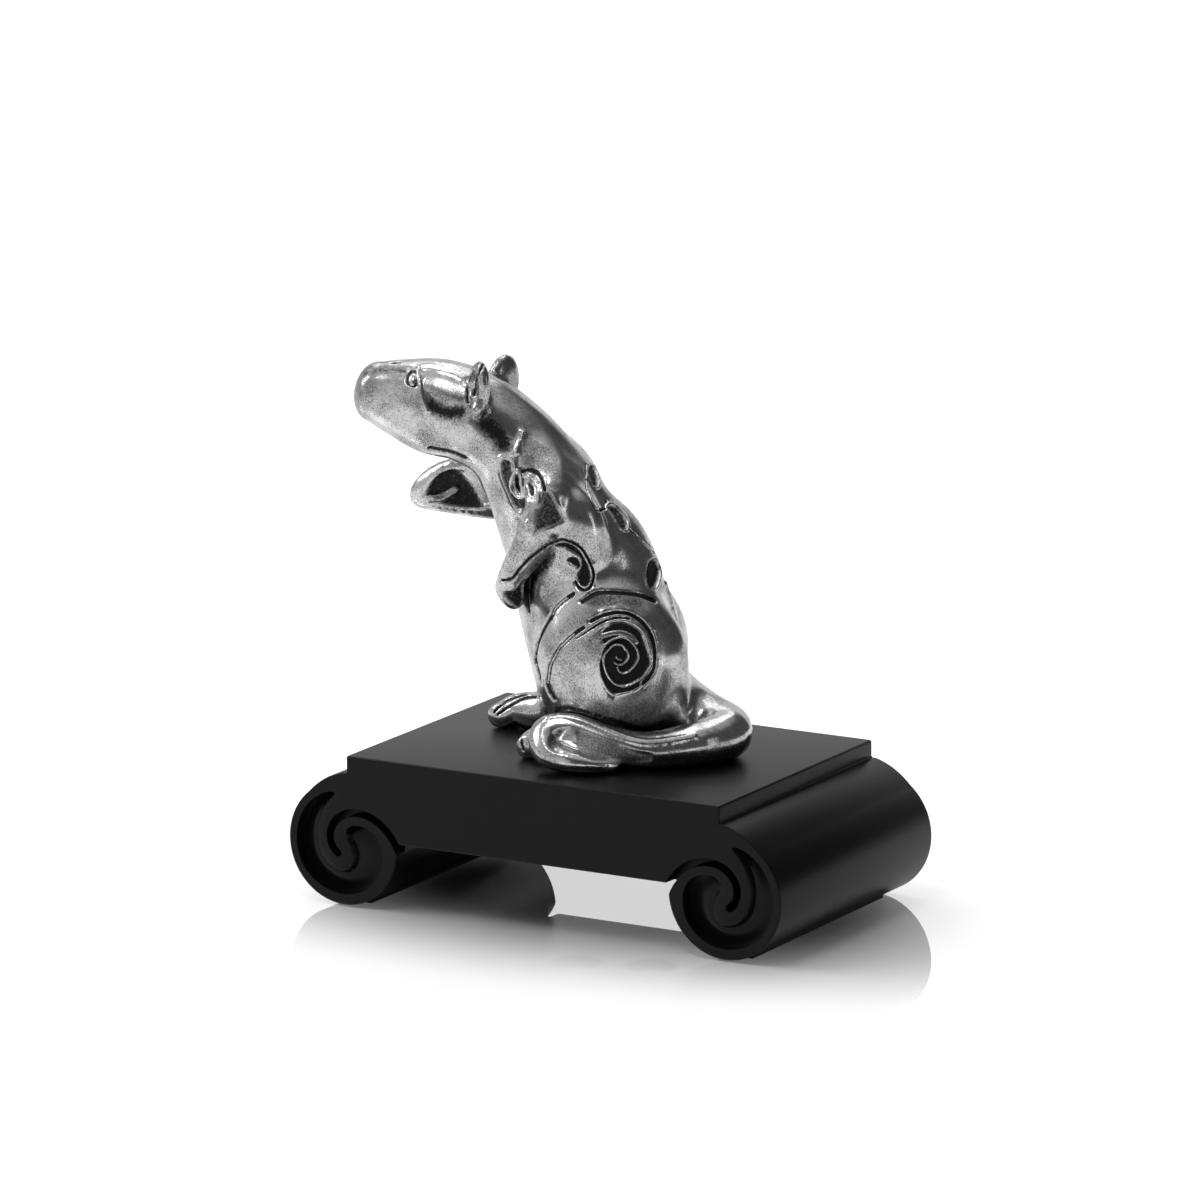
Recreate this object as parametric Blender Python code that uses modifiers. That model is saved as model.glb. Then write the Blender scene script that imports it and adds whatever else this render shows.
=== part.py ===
"""A pewter rat sitting up on a black painted wooden stand, whose two ends roll under into scrolls.

Sizes are in metres. The stand's middle is the origin, its long side lies along X and the floor is
at z = 0. The rat is modelled in a frame of its own, with +X the way it faces, +Y its left and z = 0
on the stand's top, and an empty turns it to its heading.
"""

import math

import bmesh
import bpy
from mathutils import Matrix, Vector
from mathutils.bvhtree import BVHTree

# The gap left between pieces that touch on the real object
CLEARANCE = 0.0003

# Stand
STAND_DEPTH = 0.0562
STAND_HEIGHT = 0.0280
TOP_LENGTH = 0.0770
PANEL_THICKNESS = 0.01525
LEDGE_DROP = 0.0032
LEDGE_REACH = 0.0008
TOP_EDGE_ROUND = 0.0004

# Scrolls. The grooves' angles and radii are those of the left scroll seen from the front, anticlockwise
# from its inner side, and the radii are shares of the roll's
ROLL_RADIUS = 0.0114
ROLL_SPACING = 0.07886
SEAM_TO_ROLL = 0.0030
ROLL_STEPS = 44
SHOULDER_ANGLE = 50
SHOULDER_FULLNESS = 1.3
WIDE_GROOVE_DEPTH = 0.0022
WIDE_GROOVE_OUTER = [
    (100, 0.82), (114, 0.86), (211, 0.86), (320, 0.81), (366, 0.70), (391, 0.55), (431, 0.22),
]
WIDE_GROOVE_INNER = [
    (100, 0.80), (117, 0.66), (145, 0.51), (188, 0.435), (261, 0.435), (312, 0.28), (336, 0.165),
    (402, 0.09), (431, 0.20),
]
NARROW_GROOVE_DEPTH = 0.0030
NARROW_GROOVE_WIDTH = 0.0015
NARROW_GROOVE_LEAD = 8
NARROW_GROOVE_END_ANGLE = 240
NARROW_GROOVE_END_SHARE = 0.183
NARROW_GROOVE_MOUTH_SHARE = 1.044
NARROW_GROOVE_TIGHTENING = 2.4
GROOVE_STEPS = 30

# Felt strips under the scrolls
FELT_WIDTH = 0.0070
FELT_THICKNESS = 0.0012
FELT_PROUD = 0.0002
FELT_END_MARGIN = 0.0040

# Dowels across the glued seams
DOWEL_RADIUS = 0.0025
DOWEL_LENGTH = 0.0180
DOWEL_SPACING = 0.0300

# Screws and washers from below
SCREW_RADIUS = 0.0020
SCREW_BITE = 0.0080
SCREW_CHAMFER = 0.0006
SCREW_HEAD_RADIUS = 0.0036
SCREW_HEAD_HEIGHT = 0.0022
SCREW_HEAD_ROUND = 0.0008
WASHER_RADIUS = 0.0044
WASHER_THICKNESS = 0.0008
COUNTERBORE_DEPTH = 0.0050
SCREW_PLACES = {"front": 0.0070, "rear": -0.0070}

# Where the rat sits on the stand, and its heading in degrees about Z
SEAT_X = -0.0006
SEAT_Y = 0.0019
HEADING = 198

# Sections across the rat's spine from its seat to its snout: how far forward and up the middle of
# each lies, half its depth from back to belly and half its width
SPINE = {
    "under": (-0.0012, -0.0040, 0.0110, 0.0100),
    "seat": (-0.0007, 0.0050, 0.0133, 0.0128),
    "hips": (0.0003, 0.0130, 0.0135, 0.0130),
    "loins": (0.0028, 0.0240, 0.0136, 0.0124),
    "waist": (0.0055, 0.0335, 0.0131, 0.0108),
    "chest": (0.0096, 0.0406, 0.0111, 0.0094),
    "shoulders": (0.0133, 0.0479, 0.0098, 0.0088),
    "nape": (0.0188, 0.0554, 0.0084, 0.0083),
    "crown": (0.0258, 0.0597, 0.0086, 0.0083),
    "brow": (0.0329, 0.0613, 0.0087, 0.0076),
    "muzzle": (0.0398, 0.0627, 0.0067, 0.0060),
    "nose": (0.0443, 0.0639, 0.0043, 0.0042),
    "tip": (0.0464, 0.0645, 0.0018, 0.0020),
}
SPINE_STEPS = 5
RING_POINTS = 28

# Haunches, shoulders and rump: half their length, width and height, how far forward and up of the
# section they belong to their middle lies, and how far out
HAUNCH_RADII = (0.0136, 0.0082, 0.0143)
HAUNCH_FROM_HIPS = (-0.0005, 0.0040)
HAUNCH_OUT = 0.0086
HIP_TURN = 12
SHOULDER_RADII = (0.0072, 0.0048, 0.0100)
SHOULDER_FROM_CHEST = (0.0012, 0.0060)
SHOULDER_OUT = 0.0056
SHOULDER_LEAN = 28
RUMP_RADII = (0.0076, 0.0072, 0.0066)
RUMP_FROM_SEAT = (-0.0098, -0.0002)

# Ears
EAR_HALF_HEIGHT = 0.0056
EAR_HALF_WIDTH = 0.0038
EAR_HALF_THICKNESS = 0.0018
EAR_CUP_DEPTH = 0.0009
EAR_CUP_SHARE = 0.72
EAR_CUP_LIFT = 0.0006
EAR_FROM_CROWN = (-0.0039, 0.0052)
EAR_OUT = 0.0067
EAR_SPLAY = 14
EAR_TURN = 32
HEAD_TILT = 6.4
HEAD_SWING = 5

# Arms: stations of how far forward of the chest's middle, out from the chest's side and up the
# middle of the arm lies, and its radius
LEFT_ARM = [
    (0.0009, -0.0054, 0.0119, 0.0030), (-0.0004, -0.0010, 0.0084, 0.0043),
    (-0.0004, 0.0012, 0.0039, 0.0046), (0.0024, 0.0018, -0.0016, 0.0035),
    (0.0054, 0.0014, -0.0062, 0.0027), (0.0070, 0.0008, -0.0096, 0.0023),
]
ELBOW = (-0.0046, 0.0002, 0.0019)
ELBOW_RADII = (0.0056, 0.0036, 0.0072)
ELBOW_LEAN = 25
LEFT_PAW = (0.0066, 0.0004, -0.0108)
LEFT_PAW_RADII = (0.0023, 0.0026, 0.0032)
LEFT_PAW_LEAN = 20
RIGHT_ARM = [
    (0.0024, -0.0034, 0.0052, 0.0062), (0.0094, -0.0009, 0.0044, 0.0062),
    (0.0159, -0.0002, 0.0042, 0.0059), (0.0221, -0.0002, 0.0039, 0.0049),
    (0.0264, -0.0002, 0.0026, 0.0031), (0.0283, -0.0002, 0.0016, 0.0012),
]
RIGHT_ARM_FLATNESS = 0.55
PALM = (0.0189, -0.0002, 0.0044)
PALM_HALF_LENGTH = 0.0085
PALM_HALF_HEIGHT = 0.0043
PALM_DEPTH = 0.0022
PALM_LEAN = 10

# Feet: how far forward and left the middle of each lies, and its turn about Z in degrees
FOOT_RADII = (0.0086, 0.0037, 0.0036)
FOOT_LIFT = 0.0032
LEFT_FOOT = (0.0051, 0.0104)
RIGHT_FOOT = (0.0152, -0.0096)
FOOT_TURN = {1: 0, -1: -16}
TOES = (-1, 0, 1)
TOE_RADII = (0.0026, 0.0014, 0.0019)
TOE_SPACING = 0.0023
TOE_REACH = 0.0072
TOE_DROP = 0.0014

# Tail: stations of how far forward, left and up its middle lies, and its radius
TAIL = [
    (-0.0120, -0.0010, 0.0058, 0.0055), (-0.0182, 0.0008, 0.0049, 0.0050),
    (-0.0222, 0.0056, 0.0045, 0.0046), (-0.0184, 0.0118, 0.0043, 0.0043),
    (-0.0100, 0.0156, 0.0044, 0.0041), (-0.0030, 0.0166, 0.0054, 0.0038),
    (0.0036, 0.0164, 0.0068, 0.0034), (0.0080, 0.0176, 0.0060, 0.0030),
    (0.0076, 0.0206, 0.0036, 0.0026), (0.0040, 0.0222, 0.0024, 0.0022),
    (0.0002, 0.0222, 0.0019, 0.0018), (-0.0028, 0.0214, 0.0015, 0.0014),
    (-0.0046, 0.0206, 0.0012, 0.0009),
]

# Pegs that locate the castings in the body
PEG_RADIUS = 0.0012
EAR_PEG_RADIUS = 0.0007
PEG_LENGTH = 0.0035
PEG_SIDES = 12

# How fine the cast forms are: the grid they are melted on, the rounding passes and the triangles kept
BODY_GRID = 0.0008
LIMB_GRID = 0.0005
BODY_ROUNDING = 10
LIMB_ROUNDING = 4
TRIANGLES = {"rat_body": 4000, "left_arm": 650, "right_arm": 550, "foot": 450, "tail": 1250}
CUT_MARGIN = 0.001


def clear_scene():
    for old in list(bpy.data.objects):
        bpy.data.objects.remove(old)


def new_collection(name):
    made = bpy.data.collections.new(name)
    bpy.context.scene.collection.children.link(made)
    return made


def principled(name, colour, roughness, metallic):
    made = bpy.data.materials.new(name)
    made.use_nodes = True
    shader = made.node_tree.nodes["Principled BSDF"]
    shader.inputs["Base Color"].default_value = (*colour, 1)
    shader.inputs["Roughness"].default_value = roughness
    shader.inputs["Metallic"].default_value = metallic
    made.diffuse_color = (*colour, 1)
    return made


def placed(name, mesh, home, parent=None):
    """A new object of this mesh, in a collection and under a parent."""
    made = bpy.data.objects.new(name, mesh)
    made.parent = parent
    home.objects.link(made)
    return made


def baked(source):
    """The object's mesh with its modifiers applied."""
    bpy.context.view_layer.update()
    graph = bpy.context.evaluated_depsgraph_get()
    return bpy.data.meshes.new_from_object(source.evaluated_get(graph))


def bake(target):
    """Applies the object's modifiers to it."""
    solid = baked(target)
    target.modifiers.clear()
    target.data = solid


def finished(shape):
    """A mesh from a bmesh, with its faces pointing out."""
    made = bpy.data.meshes.new("shape")
    bmesh.ops.recalc_face_normals(shape, faces=shape.faces)
    shape.to_mesh(made)
    shape.free()
    return made


def box(size, centre):
    shape = bmesh.new()
    bmesh.ops.create_cube(shape, size=1, matrix=Matrix.Translation(centre) @ Matrix.Diagonal((*size, 1)))
    return finished(shape)


def rod(radius, start, end, sides=20):
    """A cylinder from one point to another."""
    shape = bmesh.new()
    axis = Vector(end) - Vector(start)
    turn = axis.to_track_quat("Z", "Y").to_matrix().to_4x4()
    middle = (Vector(start) + Vector(end)) / 2
    bmesh.ops.create_cone(shape, cap_ends=True, segments=sides, radius1=radius, radius2=radius,
                          depth=axis.length, matrix=Matrix.Translation(middle) @ turn)
    return finished(shape)


def ball(centre, radii, pitch=0, segments=24):
    """A ball stretched to three radii and pitched forward about Y, in degrees."""
    shape = bmesh.new()
    turn = Matrix.Rotation(math.radians(pitch), 4, "Y")
    bmesh.ops.create_uvsphere(shape, u_segments=segments, v_segments=segments * 2 // 3, radius=1,
                              matrix=Matrix.Translation(centre) @ turn @ Matrix.Diagonal((*radii, 1)))
    return finished(shape)


def mesh_of_curve(data):
    """The closed mesh of a curve with caps, which are loose until they are welded."""
    guide = placed("guide", data, CUTTERS)
    mesh = baked(guide)
    bpy.data.objects.remove(guide)
    bpy.data.curves.remove(data)
    shape = bmesh.new()
    shape.from_mesh(mesh)
    bpy.data.meshes.remove(mesh)
    bmesh.ops.remove_doubles(shape, verts=shape.verts, dist=0.000001)
    return finished(shape)


def prism(outline, near_y, far_y):
    """An outline of X and Z, filled and extruded along Y."""
    data = bpy.data.curves.new("outline", "CURVE")
    data.dimensions = "2D"
    data.fill_mode = "BOTH"
    data.extrude = (far_y - near_y) / 2
    spline = data.splines.new("POLY")
    spline.points.add(len(outline) - 1)
    for point, (x, z) in zip(spline.points, outline):
        point.co = (x, z, 0, 1)
    spline.use_cyclic_u = True
    mesh = mesh_of_curve(data)
    upright = Matrix.Rotation(math.pi / 2, 4, "X")
    mesh.transform(Matrix.Translation((0, (near_y + far_y) / 2, 0)) @ upright)
    return mesh


def through(keys, t):
    """The row at t on a smooth curve through rows of numbers, where each row is one step of t."""
    start = max(0, min(int(t), len(keys) - 2))
    u = t - start
    before, here, after = keys[max(start - 1, 0)], keys[start], keys[start + 1]
    beyond = keys[min(start + 2, len(keys) - 1)]
    return tuple(
        b + u / 2 * (c - a + u * (2 * a - 5 * b + 4 * c - d + u * (3 * (b - c) + d - a)))
        for a, b, c, d in zip(before, here, after, beyond)
    )


def spread(keys, steps):
    """Rows along a smooth curve through the keys, with this many steps between two keys."""
    return [through(keys, i / steps) for i in range((len(keys) - 1) * steps + 1)]


def tapered_bar(stations, steps=5):
    """A round bar through stations of x, y, z and radius."""
    data = bpy.data.curves.new("bar", "CURVE")
    data.dimensions = "3D"
    data.bevel_depth = 1
    data.bevel_resolution = 4
    data.use_fill_caps = True
    rows = spread(stations, steps)
    spline = data.splines.new("POLY")
    spline.points.add(len(rows) - 1)
    for point, (x, y, z, radius) in zip(spline.points, rows):
        point.co = (x, y, z, 1)
        point.radius = radius
    return mesh_of_curve(data)


def loft(sections):
    """A skin over oval rings that stand across a spine in the XZ plane, closed by a cap at each end."""
    rows = spread(sections, SPINE_STEPS)
    shape = bmesh.new()
    rings = []
    for i, (x, z, half_depth, half_width) in enumerate(rows):
        ahead, behind = rows[min(i + 1, len(rows) - 1)], rows[max(i - 1, 0)]
        across = Vector((ahead[1] - behind[1], 0, behind[0] - ahead[0])).normalized()
        ring = []
        for k in range(RING_POINTS):
            turn = 2 * math.pi * k / RING_POINTS
            point = Vector((x, half_width * math.sin(turn), z)) + across * half_depth * math.cos(turn)
            ring.append(shape.verts.new(point))
        rings.append(ring)
    for low, high in zip(rings, rings[1:]):
        for k in range(RING_POINTS):
            after = (k + 1) % RING_POINTS
            shape.faces.new((low[k], low[after], high[after], high[k]))
    shape.faces.new(rings[0])
    shape.faces.new(rings[-1])
    return finished(shape)


def turned(name, profile, closed, home, parent, location):
    """A solid turned about Z, from a profile of radius and height that runs down its outer side."""
    data = bpy.data.meshes.new(name)
    edges = [(i, i + 1) for i in range(len(profile) - 1)]
    if closed:
        edges.append((len(profile) - 1, 0))
    data.from_pydata([(radius, 0, height) for radius, height in profile], edges, [])
    made = placed(name, data, home, parent)
    made.location = location
    spin = made.modifiers.new("Spin", "SCREW")
    spin.steps = 24
    spin.render_steps = 24
    spin.use_merge_vertices = True
    spin.merge_threshold = 0.00001
    return made


def as_cutter(mesh, parent=None):
    made = placed("cutter", mesh, CUTTERS, parent)
    made.hide_render = True
    made.display_type = "WIRE"
    return made


def boolean(target, mesh, operation, parent=None):
    """Cuts a mesh from the target or joins it on, and keeps the result as the target's own mesh."""
    other = as_cutter(mesh, parent)
    step = target.modifiers.new(operation.title(), "BOOLEAN")
    step.operation = operation
    step.object = other
    bake(target)
    bpy.data.objects.remove(other)


def largest_piece(target):
    """Clears away the crumbs that a cut leaves beside the piece itself."""
    shape = bmesh.new()
    shape.from_mesh(target.data)
    left = set(shape.verts)
    pieces = []
    while left:
        piece, front = set(), [left.pop()]
        while front:
            here = front.pop()
            piece.add(here)
            near = [edge.other_vert(here) for edge in here.link_edges]
            front += [vert for vert in near if vert in left]
            left.difference_update(near)
        pieces.append(piece)
    crumbs = [vert for piece in sorted(pieces, key=len)[:-1] for vert in piece]
    bmesh.ops.delete(shape, geom=crumbs, context="VERTS")
    shape.to_mesh(target.data)
    shape.free()


def melted(name, meshes, grid, rounding, triangles):
    """One casting from overlapping forms: melted into one skin, its creases rounded, its faces thinned."""
    shape = bmesh.new()
    for mesh in meshes:
        shape.from_mesh(mesh)
        bpy.data.meshes.remove(mesh)
    made = placed(name, finished(shape), PARTS, RAT_FRAME)
    skin = made.modifiers.new("Skin", "REMESH")
    skin.mode = "VOXEL"
    skin.voxel_size = grid
    soft = made.modifiers.new("Soft", "SMOOTH")
    soft.factor = 0.5
    soft.iterations = rounding
    bake(made)
    made.data.calc_loop_triangles()
    thin = made.modifiers.new("Thin", "DECIMATE")
    thin.ratio = min(1, triangles / len(made.data.loop_triangles))
    thin.use_collapse_triangulate = True
    bake(made)
    return made


def swollen(source):
    """A copy of the piece's skin, moved out by the clearance."""
    copy = placed("swollen", source.data.copy(), CUTTERS, source.parent)
    grow = copy.modifiers.new("Grow", "DISPLACE")
    grow.strength = CLEARANCE
    grow.mid_level = 0
    mesh = baked(copy)
    bpy.data.objects.remove(copy)
    return mesh


def trim_to_stand(target):
    """Cuts the target flat, the clearance above the stand's top."""
    size = 1
    boolean(target, box((size, size, size), (0, 0, CLEARANCE - size / 2)), "DIFFERENCE", RAT_FRAME)


def clear_of(target, neighbours):
    """Cuts the target back to the clearance from its neighbours and from the stand."""
    for neighbour in neighbours:
        boolean(target, swollen(neighbour), "DIFFERENCE", RAT_FRAME)
    trim_to_stand(target)
    largest_piece(target)


def peg(casting, body, outer, inner, radius):
    """Gives a casting a peg that runs from outer towards inner, and the body its socket."""
    start, end = Vector(outer), Vector(inner)
    inward = (end - start).normalized()
    corners = [vertex.co for vertex in body.data.vertices]
    skin = BVHTree.FromPolygons(corners, [face.vertices for face in body.data.polygons])
    surface = skin.ray_cast(start, inward)[0] or start
    tip = surface + inward * PEG_LENGTH
    boolean(casting, rod(radius, start, tip, PEG_SIDES), "UNION", RAT_FRAME)
    socket = rod(radius + CLEARANCE, surface - inward * PEG_LENGTH, tip + inward * CLEARANCE, PEG_SIDES)
    boolean(body, socket, "DIFFERENCE", RAT_FRAME)


def in_section(section, offset=(0, 0), left=0):
    """A point that moves with a section of the spine: forward and up of its middle, and to the left."""
    x, z = SPINE[section][:2]
    forward, up = offset
    return (x + forward, left, z + up)


def beside_chest(side, place):
    """A point forward of the chest's middle, out from its side and up, that moves with the chest."""
    x, z, _, half_width = SPINE["chest"]
    forward, out, up = place
    return (x + forward, side * (half_width + out), z + up)


def rat_body():
    """The seat, haunches, torso, neck and head."""
    forms = [loft(list(SPINE.values())), ball(in_section("seat", RUMP_FROM_SEAT), RUMP_RADII)]
    for side in (-1, 1):
        haunch = ball(in_section("hips", HAUNCH_FROM_HIPS, side * HAUNCH_OUT), HAUNCH_RADII)
        haunch.transform(Matrix.Rotation(math.radians(HIP_TURN), 4, "Z"))
        shoulder = in_section("chest", SHOULDER_FROM_CHEST, side * SHOULDER_OUT)
        forms += [haunch, ball(shoulder, SHOULDER_RADII, SHOULDER_LEAN)]
    body = melted("rat_body", forms, BODY_GRID, BODY_ROUNDING, TRIANGLES["rat_body"])
    trim_to_stand(body)
    return body


def ear_root(side):
    """Where an ear stands on the head, which tilts and turns a little towards the rat's right."""
    forward, up = EAR_FROM_CROWN
    swing = side * EAR_OUT * math.sin(math.radians(HEAD_SWING))
    tilt = side * EAR_OUT * math.sin(math.radians(HEAD_TILT))
    return in_section("crown", (forward + swing, up + tilt), side * EAR_OUT)


def ear(name, side):
    """A thin upright cup on the side of the head, hollow towards the front."""
    radii = (EAR_HALF_THICKNESS, EAR_HALF_WIDTH, EAR_HALF_HEIGHT)
    made = placed(name, ball((0, 0, 0), radii, segments=18), PARTS, RAT_FRAME)
    cup = (EAR_CUP_DEPTH, EAR_HALF_WIDTH * EAR_CUP_SHARE, EAR_HALF_HEIGHT * EAR_CUP_SHARE)
    boolean(made, ball((EAR_HALF_THICKNESS, 0, EAR_CUP_LIFT), cup, segments=18), "DIFFERENCE", RAT_FRAME)
    turn = Matrix.Rotation(math.radians(side * EAR_TURN), 4, "Z")
    splay = Matrix.Rotation(math.radians(-side * EAR_SPLAY), 4, "X")
    made.data.transform(Matrix.Translation(ear_root(side)) @ turn @ splay)
    return made


def arm_bar(side, stations):
    return tapered_bar([(*beside_chest(side, station[:3]), station[3]) for station in stations])


def left_arm():
    """The arm folded down against the chest, with its elbow lobe and its curled paw."""
    forms = [
        arm_bar(1, LEFT_ARM),
        ball(beside_chest(1, ELBOW), ELBOW_RADII, ELBOW_LEAN),
        ball(beside_chest(1, LEFT_PAW), LEFT_PAW_RADII, LEFT_PAW_LEAN),
    ]
    return melted("left_arm", forms, LIMB_GRID, LIMB_ROUNDING, TRIANGLES["left_arm"])


def right_arm():
    """The arm held out in front: a broad flat mitten, with its palm hollowed towards the rat's left."""
    x, y, z = beside_chest(-1, PALM)
    arm = arm_bar(-1, RIGHT_ARM)
    flatten = Matrix.Diagonal((1, RIGHT_ARM_FLATNESS, 1, 1))
    arm.transform(Matrix.Translation((0, y, 0)) @ flatten @ Matrix.Translation((0, -y, 0)))
    made = melted("right_arm", [arm], LIMB_GRID, LIMB_ROUNDING, TRIANGLES["right_arm"])
    thickest = max(station[3] for station in RIGHT_ARM) * RIGHT_ARM_FLATNESS
    palm = ball((x, y + thickest, z), (PALM_HALF_LENGTH, PALM_DEPTH, PALM_HALF_HEIGHT), PALM_LEAN)
    boolean(made, palm, "DIFFERENCE", RAT_FRAME)
    return made


def foot_place(side):
    middle = LEFT_FOOT if side > 0 else RIGHT_FOOT
    turn = Matrix.Rotation(math.radians(FOOT_TURN[side]), 4, "Z")
    return Matrix.Translation((*middle, FOOT_LIFT)) @ turn


def foot(name, side):
    """A long flat foot with three toes."""
    forms = [ball((0, 0, 0), FOOT_RADII)]
    forms += [ball((TOE_REACH, toe * TOE_SPACING, -TOE_DROP), TOE_RADII) for toe in TOES]
    for form in forms:
        form.transform(foot_place(side))
    return melted(name, forms, LIMB_GRID, LIMB_ROUNDING, TRIANGLES["foot"])


def tail():
    return melted("tail", [tapered_bar(TAIL)], LIMB_GRID, LIMB_ROUNDING, TRIANGLES["tail"])


def build_rat():
    """The body casting and the castings that are pegged to it."""
    body, curl = rat_body(), tail()
    ears = {1: ear("left_ear", 1), -1: ear("right_ear", -1)}
    folded, reaching = left_arm(), right_arm()
    feet = {1: foot("left_foot", 1), -1: foot("right_foot", -1)}
    for piece in (*ears.values(), folded, reaching, *feet.values()):
        clear_of(piece, [body])
    clear_of(curl, [body, feet[1]])
    for side, piece in ears.items():
        peg(piece, body, ear_root(side), in_section("crown"), EAR_PEG_RADIUS)
    peg(folded, body, beside_chest(1, LEFT_ARM[3][:3]), in_section("chest"), PEG_RADIUS)
    peg(reaching, body, beside_chest(-1, RIGHT_ARM[2][:3]), in_section("chest"), PEG_RADIUS)
    for side, piece in feet.items():
        peg(piece, body, foot_place(side) @ Vector((TOE_REACH, 0, 0)), in_section("seat"), PEG_RADIUS)
    peg(curl, body, TAIL[2][:3], in_section("seat"), PEG_RADIUS)
    for place in SCREW_PLACES.values():
        floor, roof = (place, 0, -CUT_MARGIN), (place, 0, SCREW_BITE + 2 * CLEARANCE)
        boolean(body, rod(SCREW_RADIUS + CLEARANCE, floor, roof), "DIFFERENCE", RAT_FRAME)
    return [body, *ears.values(), folded, reaching, *feet.values(), curl]


def roll_middle():
    return ROLL_SPACING / 2, FELT_PROUD + ROLL_RADIUS


def panel_length():
    return ROLL_SPACING - 2 * (ROLL_RADIUS + SEAM_TO_ROLL)


def notch_angle():
    """How far above the roll's middle the panel's underside meets the roll, in degrees."""
    return math.degrees(math.asin((STAND_HEIGHT - PANEL_THICKNESS - roll_middle()[1]) / ROLL_RADIUS))


def scroll_outline():
    """The right scroll end in X and Z: up its seam, over the top and the step, and round the roll."""
    x, z = roll_middle()
    seam = panel_length() / 2 + CLEARANCE
    under = STAND_HEIGHT - PANEL_THICKNESS
    step = TOP_LENGTH / 2
    ledge = STAND_HEIGHT - LEDGE_DROP
    points = [(seam, under), (seam, STAND_HEIGHT)]
    for turn in (90, 60, 30, 0):
        angle = math.radians(turn)
        points.append((step + TOP_EDGE_ROUND * (math.cos(angle) - 1),
                       STAND_HEIGHT + TOP_EDGE_ROUND * (math.sin(angle) - 1)))
    points.append((step, ledge))
    shoulder = Vector((step + LEDGE_REACH - x, ledge - z))
    first = math.degrees(math.atan2(shoulder.y, shoulder.x))
    last = -180 - notch_angle()
    for i in range(ROLL_STEPS + 1):
        angle = first + (last - first) * i / ROLL_STEPS
        rise = max(0, (angle - SHOULDER_ANGLE) / (first - SHOULDER_ANGLE)) ** SHOULDER_FULLNESS
        radius = ROLL_RADIUS + (shoulder.length - ROLL_RADIUS) * rise
        bearing = math.radians(angle)
        points.append((x + radius * math.cos(bearing), z + radius * math.sin(bearing)))
    return points


def on_roll(angle, share):
    """A point of the right scroll's carving, by its angle and its share of the roll's radius."""
    x, z = roll_middle()
    radius = share * ROLL_RADIUS
    return x - radius * math.cos(math.radians(angle)), z + radius * math.sin(math.radians(angle))


def wide_groove():
    """The comma-shaped hollow that winds in from the roll's rim."""
    edges = []
    for keys in (WIDE_GROOVE_OUTER, WIDE_GROOVE_INNER):
        edges.append([on_roll(*row) for row in spread(keys, GROOVE_STEPS // len(keys))])
    return edges[0] + edges[1][::-1]


def narrow_groove():
    """The spiral cut that starts in the notch under the panel and parts the roll from it."""
    mouth, last = notch_angle(), NARROW_GROOVE_END_ANGLE
    first = mouth - NARROW_GROOVE_LEAD
    half = NARROW_GROOVE_WIDTH / 2 / ROLL_RADIUS
    opening = NARROW_GROOVE_MOUTH_SHARE - NARROW_GROOVE_END_SHARE
    outer, inner = [], []
    for i in range(GROOVE_STEPS + 1):
        angle = first + (last - first) * i / GROOVE_STEPS
        left = (last - angle) / (last - mouth)
        share = NARROW_GROOVE_END_SHARE + opening * left ** NARROW_GROOVE_TIGHTENING
        outer.append(on_roll(angle, share + half))
        inner.append(on_roll(angle, share - half))
    return outer + inner[::-1]


def on_side(outline, side):
    """The right scroll's outline, or its mirror image for the left one."""
    return [(side * x, z) for x, z in outline]


def scroll_end(name, side):
    """One rolled end of the stand, carved alike at its front and its back."""
    front, back = -STAND_DEPTH / 2, STAND_DEPTH / 2
    made = placed(name, prism(on_side(scroll_outline(), side), front, back), PARTS)
    for groove, depth in ((wide_groove(), WIDE_GROOVE_DEPTH), (narrow_groove(), NARROW_GROOVE_DEPTH)):
        outline = on_side(groove, side)
        boolean(made, prism(outline, front - CUT_MARGIN, front + depth), "DIFFERENCE")
        boolean(made, prism(outline, back - depth, back + CUT_MARGIN), "DIFFERENCE")
    felt_size = (FELT_WIDTH, felt_length(), FELT_THICKNESS)
    seat_size = [length + 2 * CLEARANCE for length in felt_size]
    seat = box(seat_size, (side * roll_middle()[0], 0, FELT_THICKNESS / 2))
    boolean(made, seat, "DIFFERENCE")
    for hole in dowel_holes(side):
        boolean(made, hole, "DIFFERENCE")
    return made


def base_panel():
    """The middle block, bored for the dowels and for the screws that hold the rat."""
    size = (panel_length(), STAND_DEPTH, PANEL_THICKNESS)
    made = placed("base_panel", box(size, (0, 0, STAND_HEIGHT - PANEL_THICKNESS / 2)), PARTS)
    for side in (-1, 1):
        for hole in dowel_holes(side):
            boolean(made, hole, "DIFFERENCE")
    for place in SCREW_PLACES.values():
        below, above = (place, 0, -PANEL_THICKNESS - CUT_MARGIN), (place, 0, CUT_MARGIN)
        roof = (place, 0, COUNTERBORE_DEPTH - PANEL_THICKNESS)
        boolean(made, rod(SCREW_RADIUS + CLEARANCE, below, above), "DIFFERENCE", RAT_FRAME)
        boolean(made, rod(WASHER_RADIUS + CLEARANCE, below, roof), "DIFFERENCE", RAT_FRAME)
    return made


def dowel_line(side, end):
    """The axis of one dowel, front or back, as its two ends."""
    middle = Vector((side * (panel_length() + CLEARANCE) / 2, end * DOWEL_SPACING / 2,
                     STAND_HEIGHT - PANEL_THICKNESS / 2))
    reach = Vector((side * DOWEL_LENGTH / 2, 0, 0))
    return middle - reach, middle + reach


def dowel_holes(side):
    holes = []
    for end in (-1, 1):
        start, stop = dowel_line(side, end)
        spare = (stop - start).normalized() * CLEARANCE
        holes.append(rod(DOWEL_RADIUS + CLEARANCE, start - spare, stop + spare))
    return holes


def dowel(name, side, end):
    return placed(name, rod(DOWEL_RADIUS, *dowel_line(side, end)), PARTS)


def felt_length():
    return STAND_DEPTH - 2 * FELT_END_MARGIN


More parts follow.
